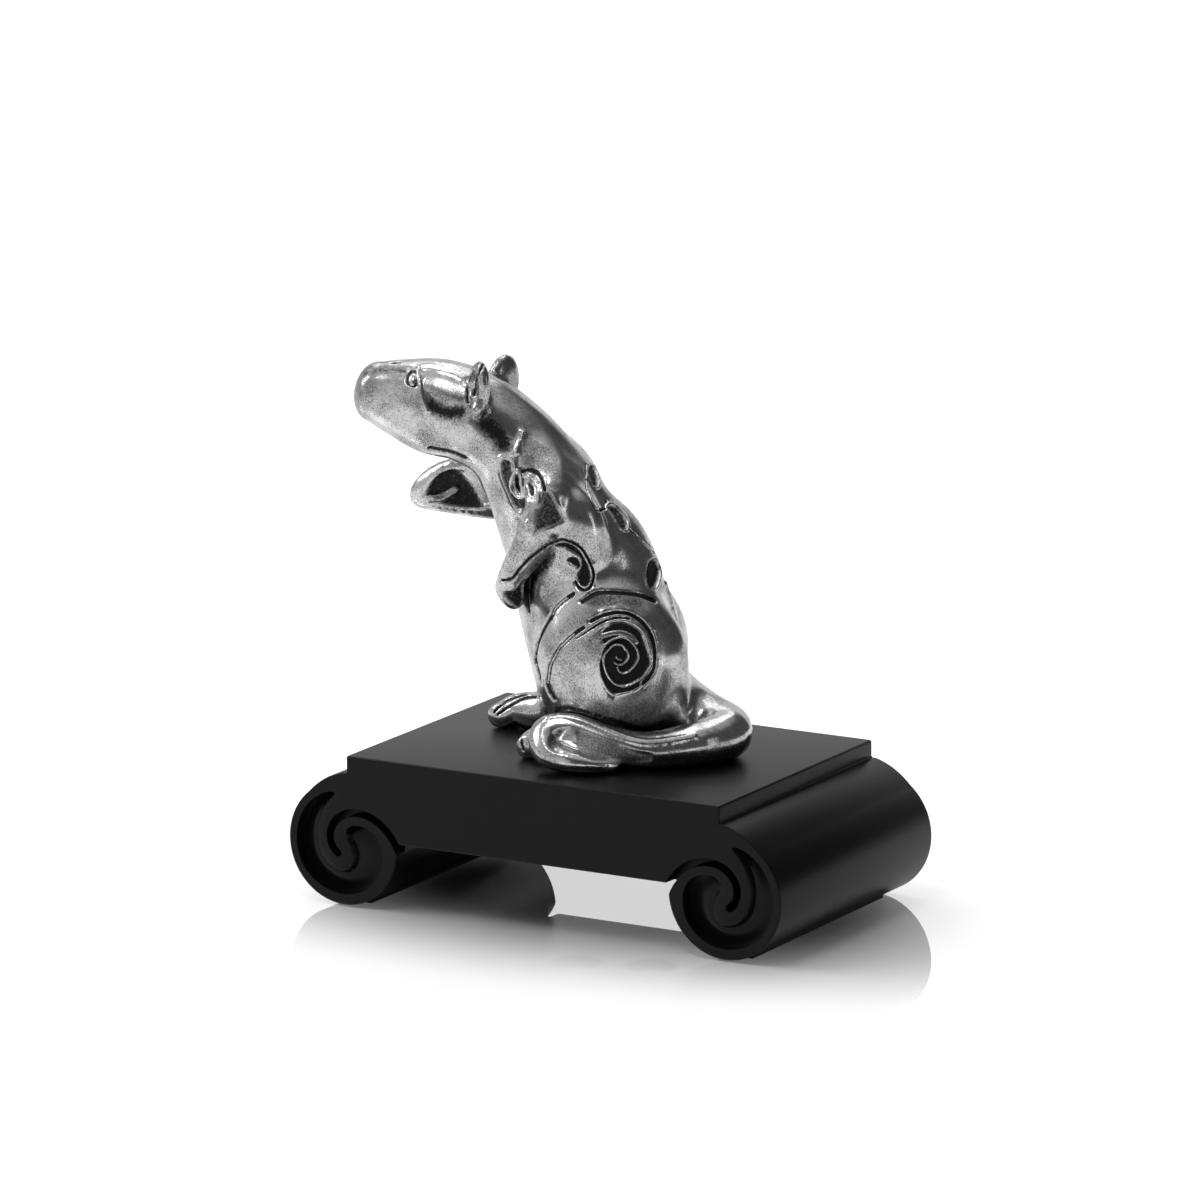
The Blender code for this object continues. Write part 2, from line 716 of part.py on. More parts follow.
def felt_strip(name, side):
    size = (FELT_WIDTH, felt_length(), FELT_THICKNESS)
    return placed(name, box(size, (side * roll_middle()[0], 0, FELT_THICKNESS / 2)), PARTS)


def washer_top():
    return COUNTERBORE_DEPTH - PANEL_THICKNESS - CLEARANCE


def screw(name, place):
    """A panhead screw whose head bears on the washer from below and which bites into the rat."""
    shoulder = washer_top() - WASHER_THICKNESS - CLEARANCE
    base = shoulder - SCREW_HEAD_HEIGHT
    profile = [
        (0, SCREW_BITE),
        (SCREW_RADIUS - SCREW_CHAMFER, SCREW_BITE),
        (SCREW_RADIUS, SCREW_BITE - SCREW_CHAMFER),
        (SCREW_RADIUS, shoulder),
        (SCREW_HEAD_RADIUS, shoulder),
        (SCREW_HEAD_RADIUS, base + SCREW_HEAD_ROUND),
        (SCREW_HEAD_RADIUS - SCREW_HEAD_ROUND, base),
        (0, base),
    ]
    return turned(name, profile, False, PARTS, RAT_FRAME, (place, 0, 0))


def washer(name, place):
    top = washer_top()
    bottom = top - WASHER_THICKNESS
    bore = SCREW_RADIUS + CLEARANCE
    profile = [(bore, top), (WASHER_RADIUS, top), (WASHER_RADIUS, bottom), (bore, bottom)]
    return turned(name, profile, True, PARTS, RAT_FRAME, (place, 0, 0))


def dress(pieces, material, smooth=False):
    for piece in pieces:
        piece.data.materials.clear()
        piece.data.materials.append(material)
        if smooth:
            piece.data.shade_smooth()
            piece.data.set_sharp_from_angle(angle=math.radians(35))


clear_scene()
PARTS = new_collection("Rat figurine")
CUTTERS = new_collection("Cutters")
RAT_FRAME = bpy.data.objects.new("rat_frame", None)
PARTS.objects.link(RAT_FRAME)
RAT_FRAME.location = (SEAT_X, SEAT_Y, STAND_HEIGHT)
RAT_FRAME.rotation_euler = (0, 0, math.radians(HEADING))

pewter = principled("Antique pewter", (0.50, 0.49, 0.47), 0.28, 1)
paint = principled("Black paint", (0.012, 0.012, 0.013), 0.38, 0)
beech = principled("Beech", (0.62, 0.45, 0.28), 0.60, 0)
felt = principled("Black felt", (0.02, 0.02, 0.02), 0.95, 0)
steel = principled("Zinc plated steel", (0.60, 0.61, 0.62), 0.35, 1)

dress(build_rat(), pewter, True)
dress([base_panel(), scroll_end("left_scroll_end", -1), scroll_end("right_scroll_end", 1)], paint)
for side_name, side in (("left", -1), ("right", 1)):
    for end_name, end in (("front", -1), ("back", 1)):
        dress([dowel(f"dowel_{side_name}_{end_name}", side, end)], beech)
    dress([felt_strip(f"felt_strip_{side_name}", side)], felt)
for place_name, place in SCREW_PLACES.items():
    dress([screw(f"screw_{place_name}", place), washer(f"washer_{place_name}", place)], steel)
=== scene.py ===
import math

import bmesh
import bpy
import numpy as np
from mathutils import Matrix, Vector
from mathutils.geometry import delaunay_2d_cdt


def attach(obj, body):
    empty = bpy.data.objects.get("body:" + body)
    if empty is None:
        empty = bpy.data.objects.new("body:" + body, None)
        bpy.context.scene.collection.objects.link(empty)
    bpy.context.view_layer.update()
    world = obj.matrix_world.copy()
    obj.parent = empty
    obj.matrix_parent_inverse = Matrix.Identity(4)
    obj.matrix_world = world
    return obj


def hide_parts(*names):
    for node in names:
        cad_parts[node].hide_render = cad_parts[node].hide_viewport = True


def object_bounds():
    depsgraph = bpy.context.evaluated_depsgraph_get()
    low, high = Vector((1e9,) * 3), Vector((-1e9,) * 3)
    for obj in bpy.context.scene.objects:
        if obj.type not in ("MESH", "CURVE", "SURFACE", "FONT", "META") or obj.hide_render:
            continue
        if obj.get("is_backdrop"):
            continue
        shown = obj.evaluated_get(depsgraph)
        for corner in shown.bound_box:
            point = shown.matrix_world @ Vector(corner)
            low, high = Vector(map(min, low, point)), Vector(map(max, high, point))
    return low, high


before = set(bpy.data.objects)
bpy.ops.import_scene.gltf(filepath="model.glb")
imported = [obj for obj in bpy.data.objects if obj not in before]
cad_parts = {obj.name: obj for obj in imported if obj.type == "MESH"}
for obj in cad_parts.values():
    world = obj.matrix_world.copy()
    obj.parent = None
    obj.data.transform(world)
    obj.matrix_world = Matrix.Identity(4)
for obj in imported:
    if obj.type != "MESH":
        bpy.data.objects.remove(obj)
cad_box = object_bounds()

MM = 0.001

# Camera, fitted to the photograph
CAMERA_TARGET = (-0.001863, 0.0, 0.055074)
CAMERA_DISTANCE = 1.55923
CAMERA_AZIMUTH = 30.311
CAMERA_ELEVATION = 12.857
CAMERA_ROLL = -0.363
CAMERA_LENS = 260.5
CAMERA_FAR = 50

# The rat's own frame: where it sits on the stand in metres, and its heading about Z in degrees
RAT_PLACE = (-0.0006, 0.0019, 0.0280)
HEADING = 198

# The rat's forms are in millimetres in its own frame: +X the way it faces, +Y its left, z = 0 on the
# stand. The spine's sections are how far forward and up, half the depth and half the width, and its
# ends are rounded by a share of these. The rows of the arms and the tail are x, y, z and radius
SPINE = [
    (-1.2, -4.0, 11.0, 10.0),
    (-0.7, 5.0, 13.3, 12.8),
    (0.3, 13.0, 13.5, 13.0),
    (2.8, 24.0, 13.6, 12.4),
    (5.5, 33.5, 13.1, 10.8),
    (9.6, 40.6, 11.1, 9.4),
    (13.3, 47.9, 9.8, 8.8),
    (18.8, 55.4, 8.4, 8.3),
    (25.8, 59.7, 8.6, 8.3),
    (32.9, 61.3, 8.7, 7.6),
    (39.8, 62.8, 6.8, 6.0),
    (43.2, 63.5, 5.5, 5.1),
]
SPINE_END = 0.73
SPINE_STEPS = 10
HIP_TURN = 12
HEAD_TILT = 6.4
HEAD_SWING = 5
TAIL = [
    (-12.0, -1.0, 5.8, 5.5), (-18.2, 0.8, 4.9, 5.0), (-22.2, 5.6, 4.5, 4.6), (-18.4, 11.8, 3.9, 4.1),
    (-10.0, 15.9, 3.3, 3.4), (-3.0, 16.9, 4.5, 3.3), (3.6, 16.6, 6.5, 3.2), (8.0, 17.6, 6.0, 3.0),
    (7.6, 20.6, 3.6, 2.6), (4.0, 22.2, 2.4, 2.2), (0.2, 22.2, 1.9, 1.8), (-2.8, 21.4, 1.5, 1.4),
    (-4.6, 20.6, 1.2, 0.9),
]
TAIL_STEPS = 5
TAIL_ROOT_ROWS = 9
LEFT_ARM = [
    (10.5, 4.0, 52.5, 3.0), (9.2, 8.4, 49.0, 4.3), (9.2, 10.6, 44.5, 4.6), (12.0, 11.2, 39.0, 3.5),
    (15.0, 10.8, 34.4, 2.7), (16.6, 10.2, 31.0, 2.3),
]
RIGHT_ARM = [
    (12.0, -6.0, 45.8, 6.2), (19.0, -8.5, 45.0, 6.2), (25.5, -9.2, 44.8, 5.9), (31.7, -9.2, 44.5, 4.9),
    (36.0, -9.2, 43.2, 3.1), (37.9, -9.2, 42.2, 1.2),
]
RIGHT_ARM_FLATNESS = 0.55
ARM_STEPS = 4

# Ovals on the rat's left or middle: their middle, radii and lean about Y in degrees. The haunch turns
# with the hips instead
HAUNCH = ((-0.2, 8.6, 17.0), (13.6, 8.2, 14.3))
SHOULDER = ((10.8, 5.6, 46.6), (7.2, 4.8, 10.0), 28)
ELBOW = ((5.0, 9.6, 42.5), (5.6, 3.6, 7.2), 25)
PAW = ((16.2, 9.8, 29.8), (2.3, 2.6, 3.2), 20)
FAR_PALM = ((28.5, -5.8, 45.0), (8.5, 2.2, 4.3), 10)
RUMP = ((-10.5, 0.0, 4.8), (7.6, 7.2, 6.6), 0)
FAR_INSTEP = ((10.6, -9.0, 4.6), (6.4, 4.0, 4.8), 0)
TAIL_WEB = ((1.0, 19.2, 3.4), (7.4, 2.2, 2.6), -8)

# The feet, with the middle and heading of each by its side, and where the toes are from there
FEET = {1: ((5.1, 10.4), 0), -1: ((15.2, -9.6), -16)}
FOOT_LIFT = 3.2
FOOT_RADII = (8.6, 3.7, 3.6)
TOE_PLACE = (7.2, 2.3, -1.0)
TOE_RADII = (2.6, 1.4, 2.4)

# The ears, and where the cup in each is from its middle
EAR_PLACE = (21.9, 6.7, 64.9)
EAR_RADII = (1.8, 3.8, 5.6)
EAR_TURN = 32
EAR_LEAN = 14
EAR_CUP_PLACE = (1.8, 0, 0.6)
EAR_CUP_RADII = (1.5, 2.8, 4.2)

SOLE_HEIGHT = 0.02

# How wide the crease is filled where each form meets the rest
CREASES = {
    "rump": 5.0, "tail_root": 5.0, "haunch": 4.0, "shoulder": 3.0, "far_instep": 3.0, "elbow": 4.0,
    "paw": 1.2, "left_arm": 0.9, "palm": 0.5, "right_arm": 1.6, "toe": 0.6, "foot": 1.0,
    "ear_cup": 0.3, "ear": 0.7, "tail": 0.8, "tail_web": 1.5,
}

# The stand, in millimetres. Its carving is given on the left roll as angles and radii about the roll's
# middle, in degrees anticlockwise from the roll's inner side
TOP_HALF = 38.5
TOP_ROUND = 0.4
STAND_TOP = 28.0
STAND_HALF_DEPTH = 28.1
LEDGE_HEIGHT = 24.8
LEDGE_REACH = 0.8
LEDGE_ROUND = 0.25
PANEL_UNDER = 12.75
ROLL_X = 39.43
ROLL_HEIGHT = 11.6
ROLL_RADIUS = 11.388
ROLL_STEPS = 130
SHOULDER_ANGLE = 50
SHOULDER_FULLNESS = 1.3
FACE_ROUND = 0.35
WIDE_OUTER = [
    (100, 9.4), (114, 9.8), (180, 9.8), (211, 9.85), (243, 9.5), (284, 9.4), (320, 9.25), (352, 8.5),
    (366, 8.0), (379, 7.3), (391, 6.3), (407, 5.0), (424, 3.7), (433, 2.5),
]
WIDE_INNER = [
    (100, 9.1), (104, 8.5), (117, 7.6), (137, 6.3), (163, 5.4), (188, 5.0), (261, 5.0), (278, 4.8),
    (294, 4.2), (312, 3.2), (336, 1.9), (402, 1.0), (428, 2.0),
]
WIDE_DEEP = 2.2
WIDE_SHALLOW = 1.1
WIDE_RISE = (0.1, 0.75)
ROLL_LINE_STEPS = 8
NARROW_START = -3
NARROW_END = 240
NARROW_LAST_RADIUS = 2.1
NARROW_OPENING = 9.9
NARROW_TIGHTENING = 2.4
NARROW_HALF = 0.75
NARROW_DEPTH = 3.0
NARROW_STEPS = 90
NARROW_END_STEPS = 9
WALL_SLOPE = 0.14
INNER_SLOPE = 0.7
FLOOR_GRID = 0.5
FACE_MARGIN = 0.63
MITRE_LEAST = 0.6
SCREWS_FORWARD = (7.0, -7.0)
COUNTERBORE_RADIUS = 4.7
COUNTERBORE_DEPTH = 5.0
SCREW_HOLE_RADIUS = 2.3
FELT_SEAT = (7.6, 48.8, 1.8)
FELT_SEAT_HEIGHT = 0.6
DOWEL_X = 25.18
DOWEL_Y = 15.0
DOWEL_HEIGHT = 20.375
DOWEL_HALF = 9.3
DOWEL_HOLE_RADIUS = 2.8
BORE_SIDES = 40
BORE_SPARE = 1
SHARP_ANGLE = 32

# How fine the rat's skin is, and how near a drawing its faces are split, once and then again
CELL = 0.66
BLOCK = 4
BAND = 1.3
FAR = 9.0
RAT_LOW = np.array((-28.5, -19.0, -1.0))
RAT_HIGH = np.array((49.0, 27.0, 75.0))
SPLIT_MARGINS = (0.85, 0.36)
POINTS_AT_ONCE = 20000
LINE_REACH = 2.5
LINE_STEPS = 4
HEAD_AXIS_HEIGHT = 62.4

# How far a drawing shows as the skin turns away from it, and how its lips and edges fade out
FACING = (0.05, 0.3)
EDGE_FADE = 0.12
LIP_WIDTH = 0.16

# Where patina and painted shade gather by themselves in creases: how far off a crease's other side may be,
# and how tight the crease is
CREASE_REACH = 1.2
CREASE_DARK = (0.15, 0.8)

# Between which distances from the rat's middle, out, back or up, each part's drawings find the skin
DEPTHS = {
    "haunch": (9, 20), "flank": (6, 13.5), "shoulder": (6.5, 16), "head": (2, 12), "ear": (5.5, 11),
    "arm": (7.5, 16), "arm_edge": (10.5, 16), "hand": (-10, -4), "tail": (15, 25),
    "far_toes": (-13, -5), "near_toes": (8, 16), "back": (-8, 16), "snout": (60, 80),
}

# The studio: the floor in metres, how it glows and mirrors, and between which distances in millimetres that
# changes, its glow fading out near the stand as a painted shadow under it, and the room's brighter sides as
# direction, where each fades in and how bright it is
FLOOR_HALF = 8.0
FLOOR_DROP = 0.0001
FLOOR_GLOW = 0.42
FLOOR_MIRRORED_GLOW = 0.12
FLOOR_PAINTED_SHADOW_SPAN = (30, 124)
FLOOR_MIRROR = (0.6, 0.06)
FLOOR_PAINTED_SHADOW_STRETCH = (1.0, 1.9, 1.0)
ROOM_DARK = 0.09
ROOM_SIDES = [
    ((-0.50, 0.86, 0.08), (0.68, 0.86), 0.8),
    ((-0.93, -0.36, 0.10), (0.15, 0.75), 0.66),
    ((-0.28, -0.93, 0.22), (0.78, 0.92), 0.72),
    ((-0.1, 0.0, 0.995), (0.5, 0.95), 0.6),
]

# The lamps as name, place, size and power
LAMP_TARGET = (0.0, 0.0, 0.04)
LAMPS = [
    ("key_left", (-0.79, -0.29, 0.75), (0.5, 0.7), 4.8),
    ("top_front", (0.0, -0.46, 1.0), (0.25, 0.25), 1.6),
    ("top_rear", (-0.25, 0.45, 1.0), (0.8, 0.8), 3.2),
    ("right_strip", (1.0, -0.13, 0.25), (0.12, 0.6), 0.4),
]

# The drawings that are chased into the skin, in millimetres. Those on the side are forward and up, and
# those on the haunch are the same as seen square to the turned hips. Those on the back are left and up
SPIRAL_FLOOR = [
    (1.3, 22.2), (2.2, 23.4), (2.0, 24.6), (0.1, 26.1), (-1.6, 26.4), (-3.0, 26.1), (-4.5, 25.4),
    (-5.6, 24.2), (-6.4, 21.8), (-6.9, 20.2), (-7.4, 18.5), (-7.1, 16.7), (-6.0, 15.1), (-4.2, 13.9),
    (-2.4, 13.4), (-0.5, 13.1), (0.7, 14.1), (1.6, 15.7), (2.2, 17.3), (2.3, 18.9), (1.9, 20.8),
]
SPIRAL_MOUND = [(3.4, 22.9), (2.0, 23.7), (0.1, 24.3), (-1.9, 24.4), (-3.6, 23.7), (-4.5, 22.7)]
SPIRAL_RIM = [
    (2.9, 24.8), (1.6, 25.7), (0.1, 26.3), (-1.6, 26.5), (-3.1, 26.2), (-4.5, 25.6), (-5.7, 24.4),
    (-6.4, 23.2), (-6.8, 21.7), (-7.1, 20.1), (-6.9, 18.5), (-6.1, 17.0), (-5.1, 16.0), (-3.9, 15.3),
    (-2.4, 14.8), (-0.9, 15.1), (0.3, 16.2), (1.0, 17.6), (1.4, 19.2), (1.3, 20.4), (0.5, 21.4),
    (-0.4, 22.2), (-1.3, 22.3), (-2.1, 22.1), (-2.5, 21.4),
]
SPIRAL_COIL = [
    (-0.2, 13.1), (0.7, 14.0), (1.6, 15.6), (2.2, 17.3), (2.3, 18.9), (1.9, 20.8), (1.3, 22.0),
    (0.2, 23.0), (-1.0, 23.5), (-2.1, 23.6), (-3.2, 23.1), (-4.1, 22.1), (-4.7, 21.0), (-4.8, 19.8),
    (-4.3, 18.8), (-3.6, 18.0), (-2.9, 17.4), (-2.0, 17.2), (-1.4, 17.6), (-1.1, 18.2),
]
SPIRAL_CORE = [(-2.5, 21.7), (-3.0, 20.8), (-3.0, 19.9), (-2.4, 19.1), (-1.5, 18.7), (-0.6, 19.1)]
SPIRAL_DOT = [(-0.9, 20.1), (-1.2, 19.8), (-1.8, 19.6)]
HAIRPIN = [
    (3.7, 26.3), (2.0, 27.2), (0.5, 27.6), (-1.0, 27.8), (-3.2, 27.5), (-5.4, 26.2), (-6.9, 24.3),
    (-7.6, 22.2), (-7.8, 20.0), (-7.6, 17.8), (-6.9, 16.4), (-5.8, 15.1),
]
INNER_LINE = [(6.2, 23.3), (5.0, 24.1), (3.5, 25.1), (2.0, 26.0), (0.5, 26.6), (-1.3, 26.9), (-3.2, 26.7)]
THIGH_LINE = [
    (5.0, 25.2), (6.6, 24.0), (8.1, 22.6), (9.3, 21.3), (10.2, 19.7), (11.0, 17.8), (11.3, 15.9),
    (11.5, 14.4), (11.2, 13.1), (10.3, 11.7),
]
HAUNCH_CREASE = [(5.2, 29.4), (2.8, 30.8), (0.2, 31.0), (-2.9, 30.7), (-5.5, 30.1), (-7.9, 28.9)]
HAUNCH_TOP_SAND = [
    (5.4, 29.0), (2.8, 30.6), (0.2, 30.8), (-2.9, 30.5), (-5.5, 29.6), (-5.0, 28.4), (-2.0, 28.9),
    (2.0, 28.6),
]
HAUNCH_LOW_SAND = [
    (3.0, 12.0), (0.0, 11.4), (-4.0, 12.0), (-8.0, 14.0), (-9.6, 17.5), (-10.4, 14.0), (-8.0, 8.5),
    (-2.0, 6.0), (4.0, 8.0),
]
BELLY_LINE = [
    (4.4, 30.6), (5.5, 29.8), (6.8, 28.7), (7.7, 27.7), (8.1, 26.7), (8.9, 25.4), (9.9, 23.5),
    (10.8, 21.4), (11.3, 19.2), (11.7, 17.3),
]
BELLY_WEDGE = [(11.4, 18.6), (10.9, 16.8), (10.2, 14.8), (9.6, 14.4)]
LOOP = [
    (15.4, 52.3), (15.5, 53.4), (16.2, 54.2), (17.4, 54.4), (18.5, 54.1), (18.9, 52.9), (18.8, 51.2),
    (18.2, 49.4), (17.2, 47.5), (16.4, 45.7), (15.4, 44.6), (14.3, 44.3), (13.0, 44.9), (12.2, 46.1),
    (12.0, 47.2), (12.8, 47.7),
]
LOOP_FLOOR = [
    (16.0, 52.2), (16.3, 53.6), (17.4, 54.0), (18.4, 53.6), (18.3, 51.2), (17.7, 49.4), (16.7, 47.5),
    (15.9, 45.7), (14.6, 44.8), (13.3, 45.4), (12.9, 46.5), (13.6, 47.6), (15.0, 48.0),
]
ALMOND = [
    (15.1, 52.1), (14.3, 51.4), (14.0, 50.0), (13.8, 48.3), (14.1, 47.2), (15.1, 47.5), (16.0, 48.6),
    (16.2, 49.8), (15.8, 51.1), (15.1, 52.1),
]
ALMOND_HOLE = [
    (15.1, 51.5), (14.7, 50.9), (14.5, 49.9), (14.3, 48.6), (14.4, 47.8), (15.0, 48.2), (15.6, 49.2),
    (15.7, 50.1), (15.5, 51.0),
]
CRESCENT_GROOVE = [(13.9, 52.0), (12.6, 52.3), (11.0, 52.0), (9.8, 51.0), (9.2, 49.7)]
CRESCENT = [(14.1, 51.3), (12.7, 51.2), (11.2, 50.7), (10.4, 49.6), (10.1, 48.3), (10.2, 46.8)]
SHOULDER_BEAD = [
    (12.9, 50.4), (11.7, 50.2), (11.1, 49.4), (11.1, 48.4), (11.9, 48.2), (12.8, 49.1), (13.2, 49.9),
]
ARM_RIDGE = [(12.2, 43.6), (12.8, 42.2), (13.7, 40.2), (15.1, 37.5), (16.6, 35.1), (17.6, 33.4)]
ARM_VALLEY = [
    (9.3, 50.0), (7.8, 49.5), (6.6, 47.9), (5.2, 45.0), (5.6, 43.4), (7.9, 42.6), (10.0, 41.7),
    (11.5, 40.6), (11.1, 43.5), (10.8, 46.1), (9.8, 47.9),
]
ARCH = [
    (17.4, 32.5), (16.0, 32.7), (15.0, 33.2), (13.8, 34.8), (12.2, 36.6), (10.5, 38.1), (8.8, 39.3),
    (7.6, 40.0), (6.1, 40.4), (4.8, 40.2), (3.5, 39.6), (2.4, 38.4), (1.7, 36.8), (1.1, 35.0),
    (0.9, 33.4), (1.3, 32.0), (2.2, 31.3), (3.4, 31.6), (4.2, 32.6),
]
HOOK = [
    (8.5, 39.2), (6.2, 40.1), (4.8, 40.0), (3.5, 39.3), (2.6, 38.2), (1.9, 36.5), (1.4, 34.9),
    (1.2, 33.4), (1.6, 32.2), (2.7, 31.7), (3.8, 32.3), (4.1, 33.4), (3.5, 34.6), (3.1, 35.6),
    (3.3, 36.9), (4.3, 37.9), (5.7, 38.6), (6.8, 38.8),
]
CURL = [
    (5.6, 36.6), (4.6, 37.3), (3.5, 37.0), (3.0, 35.9), (3.1, 35.0), (3.8, 34.7), (4.7, 35.2), (5.5, 35.7),
]
CURL_BEAD = [(5.0, 36.0), (4.4, 35.5), (3.9, 35.2)]
PAW_HOLLOW = [
    (17.5, 30.0), (16.6, 30.9), (15.5, 30.9), (14.6, 31.6), (13.2, 33.0), (12.9, 31.6), (13.1, 29.5),
    (13.0, 27.3), (12.9, 25.2), (14.6, 25.4), (15.4, 27.3), (16.6, 28.4),
]
# A dark patch under the arch, painted as a dark reflection
ARM_PAINTED_REFLECTION = [(12.4, 34.2), (11.0, 36.2), (9.0, 37.9), (8.2, 36.6), (8.8, 34.7), (10.4, 33.0), (11.8, 32.4)]
EYE = [(36.2, 65.5), (36.4, 66.9), (35.9, 67.9), (34.8, 68.1), (34.1, 66.8), (34.1, 65.1), (35.2, 65.0)]
EYE_BEAD = ((35.2, 66.6), (0.8, 1.2))
SNOUT_EDGE = [(45.0, 67.0), (43.6, 67.4), (41.6, 67.7), (39.2, 67.9), (36.7, 67.8)]
BROW = [(34.0, 68.4), (32.3, 68.6), (29.9, 68.2), (27.5, 67.6), (26.1, 67.0)]
TEMPLE_POCKET = [(31.0, 62.1), (29.4, 61.2), (27.5, 60.8), (25.7, 61.2)]
CHEEK_RIDGE = [(34.3, 68.2), (33.7, 66.4), (33.1, 64.2), (32.4, 62.5), (31.6, 61.0)]
TEMPLE = [
    (33.2, 66.0), (31.5, 65.0), (29.1, 64.2), (26.7, 63.6), (25.2, 63.2), (24.8, 61.0), (26.6, 60.3),
    (28.9, 60.8), (31.1, 61.7), (32.4, 63.6),
]
THROAT_LINE = [(31.8, 54.0), (30.0, 53.8), (27.6, 53.4), (25.3, 52.6)]
EAR_SLIT = [(21.3, 70.9), (21.9, 69.5), (23.2, 67.1), (23.5, 64.8)]
EAR_CREASE = [(24.4, 67.8), (24.8, 66.0), (24.4, 63.6)]
EAR_LOBE = [(22.7, 64.8), (20.9, 65.0), (21.2, 63.0), (22.3, 62.6), (23.1, 63.6)]
NECK_HOLLOW = [(21.3, 60.2), (20.0, 59.2), (18.6, 57.8), (17.8, 56.4)]
SHOULDER_EDGE = [
    (15.3, 55.1), (14.7, 57.2), (14.1, 59.3), (13.2, 60.5), (11.6, 60.1), (10.1, 58.4), (8.0, 56.3),
]
SHOULDER_SAND = [
    (14.2, 57.2), (11.7, 57.6), (10.0, 56.8), (8.5, 54.9), (7.2, 52.8), (7.5, 51.1), (10.1, 52.5),
    (13.1, 52.7), (14.4, 55.1),
]
HAND_HOLLOW = [
    (37.2, 42.2), (36.6, 44.0), (35.0, 46.4), (33.4, 48.2), (30.4, 48.8), (27.7, 46.6), (25.4, 43.5),
    (24.5, 41.0), (27.6, 40.6), (31.3, 40.8), (35.1, 41.4),
]
FINGER = [(37.2, 41.9), (35.0, 42.5), (32.8, 42.9), (30.5, 44.2)]
TAIL_FACE = [
    (2.3, 7.4), (-1.2, 7.0), (-4.9, 5.8), (-8.9, 4.4), (-11.5, 3.7), (-11.3, 1.7), (-7.1, 1.2),
    (-4.5, 2.1), (-0.9, 2.6), (1.7, 4.2),
]
TAIL_HOLLOW = [
    (3.2, 8.0), (5.1, 8.0), (6.5, 7.3), (7.2, 6.2), (7.2, 5.0), (6.2, 4.1), (4.6, 3.8), (3.1, 4.1),
    (4.9, 4.9), (4.3, 6.4),
]
TAIL_RIM = [
    (7.9, 9.3), (5.1, 9.7), (1.8, 9.1), (-1.6, 8.0), (-5.3, 6.5), (-9.8, 5.4), (-14.1, 5.6),
    (-18.2, 6.2),
]
FAR_TOE_LINES = [[(23.8, 3.0), (21.6, 5.1), (17.9, 6.6)], [(23.1, 2.6), (18.9, 5.6), (15.7, 6.6)]]
NEAR_TOE_LINE = [(13.7, 3.6), (13.3, 1.8)]
SNOUT_DASH = [(39.8, 1.3), (39.0, 1.4), (38.1, 1.5)]
BACK_RING = [
    (1.0, 51.7), (-2.7, 51.1), (-2.0, 49.9), (0.7, 48.6), (2.2, 47.9), (3.4, 48.1), (3.7, 49.2), (3.0, 50.6),
]
BACK_TONGUE = [(3.2, 50.9), (5.8, 49.3), (9.4, 47.8), (10.4, 46.3), (9.6, 45.3), (4.9, 44.6), (2.6, 45.8)]
BACK_CURL = [
    (4.2, 44.7), (3.0, 45.2), (2.0, 44.9), (1.9, 44.0), (2.3, 42.8), (3.0, 41.6), (4.3, 40.7),
    (5.0, 40.9), (5.1, 41.8), (4.6, 43.1),
]
BACK_LINE = [(3.7, 40.7), (2.8, 39.3), (1.7, 37.6), (-0.1, 36.0)]
BACK_OVAL = [
    (1.0, 35.4), (-0.9, 34.4), (-1.2, 32.8), (0.5, 31.6), (3.3, 30.4), (6.1, 30.1), (6.6, 30.8),
    (5.8, 32.1), (4.8, 33.7), (3.3, 35.1),
]
SPINE_CREST = [(-1.6, 30.0), (-2.6, 27.0), (-2.6, 23.0), (-1.8, 19.0)]


def through(keys, t):
    """The row at t on a smooth curve through rows of numbers, where each row is one step of t."""
    start = max(0, min(int(t), len(keys) - 2))
    u = t - start
    a, b = np.array(keys[max(start - 1, 0)], float), np.array(keys[start], float)
    c, d = np.array(keys[start + 1], float), np.array(keys[min(start + 2, len(keys) - 1)], float)
    return b + u / 2 * (c - a + u * (2 * a - 5 * b + 4 * c - d + u * (3 * (b - c) + d - a)))


def spread(keys, steps):
    """Rows along a smooth curve through the keys, with this many steps between two keys."""
    return np.array([through(keys, i / steps) for i in range((len(keys) - 1) * steps + 1)])


def turn_about(axis, degrees):
    """The turn about an axis as a matrix."""
    first, second = {"X": (1, 2), "Y": (2, 0), "Z": (0, 1)}[axis]
    turn = np.eye(3)
    turn[first, first] = turn[second, second] = math.cos(math.radians(degrees))
    turn[second, first] = math.sin(math.radians(degrees))
    turn[first, second] = -turn[second, first]
    return turn


def join(a, b, soft):
    """The union of two fields, with its crease filled over this width."""
    near = np.maximum(soft - np.abs(a - b), 0) / soft
    return np.minimum(a, b) - near * near * soft / 4


def cut(a, b, soft):
    """The field a with b cut away."""
    return -join(-a, b, soft)


def within(points, low, high, field):
    """The field where the points lie inside a box, and a far value elsewhere."""
    inside = np.all((points > low) & (points < high), axis=1)
    found = np.full(len(points), FAR)
    if inside.any():
        found[inside] = field(points[inside])
    return found


def oval_gap(local, radii):
    """About how far places lie from a stretched ball round the origin, below zero inside it."""
    first = np.linalg.norm(local / radii, axis=1)
    second = np.linalg.norm(local / radii ** 2, axis=1)
    return first * (first - 1) / np.maximum(second, 1e-6)


def oval(points, centre, radii, turn):
    """The distance from a stretched ball, turned by a matrix."""
    centre, radii = np.array(centre, float), np.array(radii, float)
    reach = radii.max() + FAR / 2

    def field(inner):
        return oval_gap((inner - centre) @ turn, radii)

    return within(points, centre - reach, centre + reach, field)


def leaning_oval(points, row, side=1):
    """The distance from an oval that leans about Y, as its row says or mirrored to the other side."""
    middle, radii, lean = row
    return oval(points, np.array(middle) * (1, side, 1), radii, turn_about("Y", lean))


